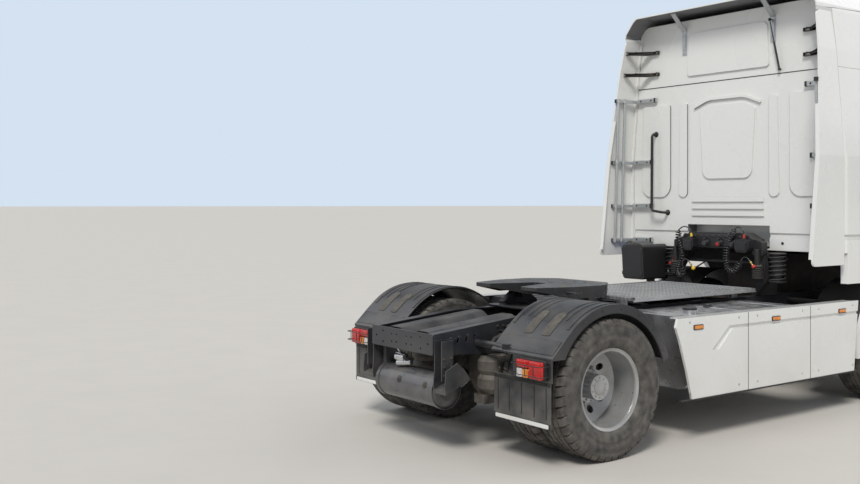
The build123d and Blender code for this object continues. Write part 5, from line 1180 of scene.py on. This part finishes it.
for y, z in ((-2.52, 2.19), (-2.4, 2.8)):
    arms.lathe([(-.004, .036), (.006, .034), (.012, .022)], (skin(z), y, z), ACROSS, 18)
arms.pair("mirror_feet", BLACK, "door")
for side, word in SIDES:
    found = touch("cab_shell", (side * 3, -2.742, 1.7), (-side, 0, 0))
    lamp_form = Shape().lathe([(-.004, .04), (.004, .038), (.012, .026), (.015, .008)], *found, 24)
    lamp_form.make("side_turn_lamp_" + word, AMBER, "cab")

# Tank and boxes

tank = Shape()
tank.lathe([(0, .05), (.004, .054), (.018, .054), (.024, .046), (.026, .02)], (-1.0, .98, .985), UP, 32)
for turn in turns(10):
    x, y = -1.0 + .0545 * math.cos(turn), .98 + .0545 * math.sin(turn)
    tank.tube([(x, y, .99), (x, y, 1.002)], .003, 6)
tank.lathe([(0, .042), (.006, .042), (.008, .03), (.02, .028)], (-.74, .42, .9565), UP, 26)
for turn in turns(6):
    tank.bolt((-.74 + .034 * math.cos(turn), .42 + .034 * math.sin(turn), .962), UP, .0045)
tank.box((-1.01, -.99), (.915, .925), (.957, .99))
tank.make("tank_cap", BLACK, bevel=.001)
lids = Shape()
lids.box((.5, 1.165), (-.48, .3), (.951, .957), .03)
lids.box((.5, 1.165), (.385, 1.185), (.947, .953), .03)
for x in (.62, .78, .94, 1.08):
    lids.box(near(x, .012), (-.43, .25), (.955, .962), .011, steps=3)
    lids.box(near(x, .012), (.44, 1.13), (.951, .958), .011, steps=3)
for y in (-.3, .12, .56, 1.0):
    lids.box((1.16, 1.185), near(y, .02), (.925, .961))
lids.make("box_lids", BLACK, bevel=.002)

# Front

SLOTS = ((1.236, 1.29, .7), (1.322, 1.376, .715), (1.408, 1.462, .73), (1.64, 1.7, .59), (1.736, 1.796, .57))
mesh_strip, fins = Shape(), Shape()
for low, high, reach in SLOTS:
    xs = [reach * (k / 12 - 1) for k in range(25)]
    floors = [ahead("front_lid", x, (low + high) / 2)[0].y for x in xs]
    line = list(zip(xs, floors))
    outline = [(x, y - .0015) for x, y in line] + [(x, y + .0005) for x, y in reversed(line)]
    mesh_strip.prism(outline, 2, low + .003, high - .003)
    for k in range(1, 48):
        at = k / 48 * 24
        i = int(at)
        x = reach * (at / 12 - 1)
        y = floors[i] + (floors[min(i + 1, 24)] - floors[i]) * (at - i) - .004
        fins.tube([(x, y, low + .002), (x, y, high - .002)], .0022, 6)
    for z in (low + .018, low + .036):
        fins.tube([(x, y - .006, z) for x, y in line], .0026, 6)
mesh_strip.make("grille_mesh", STEP, "front_lid")
fins.make("grille_fins", BLACK, "front_lid")
latches = Shape()
for x in (-.56, .56):
    latches.lathe([(-.002, .02), (.002, .02), (.004, .016)], *ahead("front_lid", x, 1.56), 22)
latches.make("lid_latches", CHROME, "front_lid")

wipers = Shape()
for x0, x1 in ((-.86, -.36), (-.26, .3), (.42, .9)):
    place, normal = ahead("cab_shell", x0, 2.118)
    wipers.lathe([(-.004, .022), (.014, .02), (.02, .012)], place, normal, 18)
    arm = [place + normal * .02]
    for k in range(1, 6):
        at, out = ahead("windscreen", x0 + (x1 - x0) * .55 * k / 5, 2.165 + .01 * k)
        arm.append(at + out * .026)
    wipers.tube(arm, [.01, .009, .008, .006, .005, .005], 8)
    blade = [ahead("windscreen", x0 + .02 + (x1 - x0) * k / 10, 2.205 + .004 * k) for k in range(11)]
    wipers.tube([at + out * .004 for at, out in blade], .003, 6)
    wipers.tube([at + out * .013 for at, out in blade], .007, 8)
wipers.make("wipers", BLACK, "cab")

corners = rounded([(-.955, 2.175), (.955, 2.175), (.92, 2.925), (-.92, 2.925)], .07, 6)
edge_path = []
for (xa, za), (xb, zb) in zip(corners, corners[1:] + corners[:1]):
    steps = max(1, int(math.hypot(xb - xa, zb - za) / .09))
    for k in range(steps):
        at, out = ahead("windscreen", xa + (xb - xa) * k / steps, za + (zb - za) * k / steps)
        edge_path.append(at + out * .002)
Shape().tube(edge_path, .008, 8, closed=True).make("screen_rubber", RUBBER, "cab")

bowls, clears, ambers = Shape(), Shape(), Shape()
for side in (-1, 1):
    for x, z, size in ((.89, .768, .056), (1.022, .835, .056), (1.14, .86, .036)):
        at, out = ahead("headlamps", side * x, z)
        out = (out * .35 + Vector((0, -.65, 0))).normalized()
        bowls.lathe(
            [(-.004, size), (.006, size), (.008, size * .94), (.003, size * .8), (.001, size * .3)], at,
            out, 32,
        )
        target = clears if size > .05 else ambers
        target.lathe(
            [(.0015, size * .74), (.006, size * .66), (.011, size * .42), (.013, size * .12)], at, out, 28,
        )
    strip = []
    for k in range(15):
        at, out = ahead("headlamps", side * (1.035 + .165 * k / 14), .968 - .032 * k / 14)
        strip.append(at + out * .002)
    clears.tube(strip, .007, 8)
    at = ahead("bumper", side * .8, .52)[0]
    bowls.lathe([(-.001, .046), (.01, .046), (.012, .04), (.003, .02)], at, (0, -1, 0), 32)
    clears.lathe([(.008, .041), (.014, .036), (.018, .02), (.019, .006)], at, (0, -1, 0), 32)
bowls.make("lamp_bowls", CHROME, slot="lamp_clear")
clears.make("lamp_fronts", PALE)
ambers.make("turn_lamp_fronts", AMBER)

front_bits = Shape()
face_y = max(ahead("bumper", x, .445)[0].y for x in (-.26, .26))
front_bits.box((-.275, .275), (face_y - .002, face_y + .004), (.405, .522), .008, 1, 3)
for x in (-.38, .38):
    front_bits.lathe([(-.002, .045), (.002, .045), (.003, .042)], *ahead("bumper", x, .64), 30)
front_bits.make("front_plate", BLACK, bevel=.001)

roof_lamps = Shape()
for x in (-.9, -.3, .3, .9):
    roof_lamps.lathe(
        [(-.002, .026), (.006, .025), (.013, .016), (.015, .004)], *ahead("sun_visor", x, 3.02), 22,
    )
roof_lamps.make("visor_lamps", AMBER, "cab")


# Cab inside

def applied(made):
    """The mesh of an object as its modifiers leave it."""
    depsgraph = bpy.context.evaluated_depsgraph_get()
    return bpy.data.meshes.new_from_object(made.evaluated_get(depsgraph), depsgraph=depsgraph)


def smoothed(made, passes):
    """Smooths an object's surface after its other modifiers, and gives its mesh."""
    even = made.modifiers.new("even", "SMOOTH")
    even.factor, even.iterations = .5, passes
    return applied(made)


def swollen(size, cap, channels=(), voxel=.011):
    """A pad about its middle: a block grown by Cloth pressure, by cap at most, with sewn channels."""
    work = bmesh.new()
    bmesh.ops.create_cube(work, size=1.0)
    bmesh.ops.scale(work, vec=[length - 2 * cap for length in size], verts=work.verts)
    bmesh.ops.bevel(
        work, geom=work.edges[:], offset=.3 * (min(size) - 2 * cap), segments=4, profile=.5, affect="EDGES",
    )
    mesh = bpy.data.meshes.new("pad")
    work.to_mesh(mesh)
    work.free()
    made = new_object("pad", mesh)
    remesh = made.modifiers.new("remesh", "REMESH")
    remesh.mode, remesh.voxel_size = "VOXEL", voxel
    grid = smoothed(made, 8)
    made.modifiers.clear()
    made.data = grid
    cloth = made.modifiers.new("cloth", "CLOTH")
    cloth.settings.use_pressure = True
    cloth.settings.uniform_pressure_force = 4.0
    cloth.settings.effector_weights.gravity = 0.0
    for moment in range(1, 21):
        scene.frame_set(moment)
    grown = [v.co.copy() for v in applied(made).vertices]
    made.modifiers.clear()
    for v, end in zip(grid.vertices, grown):
        move = end - v.co
        v.co += move * min(1.0, cap / max(move.length, 1e-9))
    scene.frame_set(1)
    grid = smoothed(made, 4)
    for v in grid.vertices:
        for x in channels:
            close = max(0.0, 1 - abs(v.co.x - x) / .022)
            if v.co.z > 0:
                v.co.z -= .009 * close * close
    bpy.data.objects.remove(made)
    grid.polygons.foreach_set("use_smooth", [True] * len(grid.polygons))
    return grid


def lay(mesh, name, surface, place, tilt, replaces):
    """Puts a copy of a pad in its place in the cab, turned back by tilt degrees."""
    copy = mesh.copy()
    copy.transform(Matrix.Translation(place) @ Matrix.Rotation(math.radians(tilt), 4, "X"))
    copy.materials.append(surface)
    made = new_object(name, copy)
    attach(made, "cab")
    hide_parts(replaces)


cushion = swollen((.49, .49, .145), .022, (-.115, .115))
squab = swollen((.45, .65, .1), .02, (-.105, .105))
headrest = swollen((.3, .18, .1), .016)
frames, belts = Shape(), Shape()
for side, word in SIDES:
    x = side * .56
    lay(cushion, "seat_cushion_" + word, CLOTH, (x, -1.947, 1.878), 1.5, "seats")
    lay(squab, "seat_back_" + word, CLOTH, (x, -1.657, 2.27), 82, "seats")
    lay(headrest, "seat_headrest_" + word, CLOTH, (x, -1.592, 2.663), 82, "seats")
    frames.box(near(x, .18), (-2.13, -1.785), (CAB_FLOOR, 1.52), .04)
    for k in range(4):
        z = 1.52 + k * .06
        frames.box(near(x, .15), (-2.105, -1.81), (z, z + .03), .05)
        frames.box(near(x, .17), (-2.122, -1.793), (z + .03, z + .06), .06)
    frames.box(near(x, .235), (-2.16, -1.72), (1.76, 1.815), .05)
    frames.prism([(-1.69, 1.905), (-1.64, 1.905), (-1.548, 2.56), (-1.59, 2.575)], 0, *near(x, .2))
    for dx in (-.07, .07):
        frames.tube([(x + dx, -1.6, 2.52), (x + dx, -1.588, 2.64)], .007, 8)
    for dx in (-.238, .238):
        frames.prism(
            rounded([(-1.8, 1.815), (-1.64, 1.815), (-1.61, 1.96), (-1.74, 1.96)], .03), 0,
            *near(x + dx, .01),
        )
    belts.box(near(x - side * .244, .012), (-1.8, -1.77), (1.83, 1.955))
frames.make("seat_frames", BLACK, "cab", bevel=.003, replaces=["seats"])
belts.make("belt_buckles", BLACK, "cab", bevel=.003)

mattress = swollen((2.17, .47, .125), .014, voxel=.013)
lay(mattress, "bunk_mattress", PAD, (0, -1.256, 1.8945), 0, "bunk")
locker = Shape().box((-1.078, 1.078), (-1.463, -1.017), (CAB_FLOOR, 1.826))
for span in ((-1.05, -.36), (-.34, .34), (.36, 1.05)):
    locker.box(span, (-1.4645, -1.46), (1.49, 1.8), .02, 1)
locker.make("bunk_locker", INSIDE, "cab", bevel=.004, replaces=["bunk"])

dash = Shape()
dash.prism(rounded([(.33, 2.085), (.8, 2.085), (.76, 2.215), (.37, 2.215)], .04), 1, -2.72, -2.56)
dash.box((-.1, .29), (-2.52, -2.47), (1.9, 2.105), .03, 1)
dash.box((-.9, -.25), (-2.505, -2.48), (1.86, 1.99), .02, 1)
dash.tube([(.16, -2.42, 1.462), (.16, -2.44, 1.7), (.2, -2.4, 1.78)], .014, 10)
dash.lathe([(-.03, .016), (-.01, .03), (.02, .03), (.034, .014)], (.2, -2.4, 1.79), (.2, .2, 1), 18)
for x in (.48, .6, .72):
    dash.prism(
        rounded([(x - .035, 1.5), (x + .035, 1.5), (x + .03, 1.59), (x - .03, 1.59)], .01), 1, -2.66, -2.646,
    )
dash.make("dash_forms", BLACK, "cab", bevel=.006)
screens = Shape()
screens.prism(rounded([(.4, 2.1), (.73, 2.1), (.71, 2.19), (.42, 2.19)], .02), 1, -2.562, -2.557)
screens.box((-.06, .15), (-2.4705, -2.466), (1.985, 2.09), .012, 1)
screens.make("dash_screens", GLASS, "cab", bevel=.001)
vents = Shape()
for x in (-.985, -.175, .345, .985):
    at, out = touch("dashboard", (x, -1.9, 2.05), (0, -1, 0))
    vents.lathe([(-.002, .042), (.006, .042), (.008, .036), (-.001, .032)], at, out, 24)
    for k in (-1, 0, 1):
        vents.box(near(x, .032), near(at.y, .004), near(at.z + k * .018, .002))
vents.lathe([(-.03, .04), (.012, .062), (.022, .052), (.026, .02)], (.56, -2.357, 2.12), (0, .616, .788), 32)
vents.make("dash_vents", BLACK, "cab", bevel=.001)

# Light, floor and background

scene.view_settings.view_transform = "Standard"
world = bpy.data.worlds.new("studio")
scene.world = world
world.use_nodes = True
tree = world.node_tree
tree.nodes.clear()
path = shader_node(tree, "LightPath").outputs
seen = combine(tree, "Math", "MAXIMUM", path["Is Camera Ray"], path["Is Transmission Ray"])[0]
ambient = shader_node(tree, "Background", Color=(.86, .92, 1.0, 1.0), Strength=.42)
backdrop = shader_node(tree, "Background", Color=(.66, .76, .88, 1.0), Strength=1.0)
blend = tree.nodes.new("ShaderNodeMixShader")
output = tree.nodes.new("ShaderNodeOutputWorld")
for source, socket in ((seen, blend.inputs[0]), (ambient.outputs[0], blend.inputs[1]),
                       (backdrop.outputs[0], blend.inputs[2]), (blend.outputs[0], output.inputs[0])):
    tree.links.new(source, socket)


def sun(name, place, angle, power, colour=(1, 1, 1)):
    data = bpy.data.lights.new(name, "SUN")
    data.energy, data.color, data.angle = power, colour, angle
    made = new_object(name, data)
    made.location = place
    made.rotation_mode = "QUATERNION"
    made.rotation_quaternion = (-Vector(place)).to_track_quat("-Z", "Y")


sun("key", (-5.0, 6.5, 9.0), .3, 2.3, (1.0, .97, .92))
sun("fill", (6.0, 3.0, 4.5), .9, .5, (.92, .96, 1.0))
sun("front", (-2.0, -9.0, 5.0), .9, .55)

EDGE = 900.0
mesh = bpy.data.meshes.new("floor")
mesh.from_pydata([(-EDGE, -EDGE, 0), (EDGE, -EDGE, 0), (EDGE, EDGE, 0), (-EDGE, EDGE, 0)], [], [[0, 1, 2, 3]])
ground = new_object("floor", mesh)
mesh.materials.append(
    material("concrete", (.6, .575, .535), (.57, .547, .508), .9, (60.0, .05, .002), (1.6, .5))
)
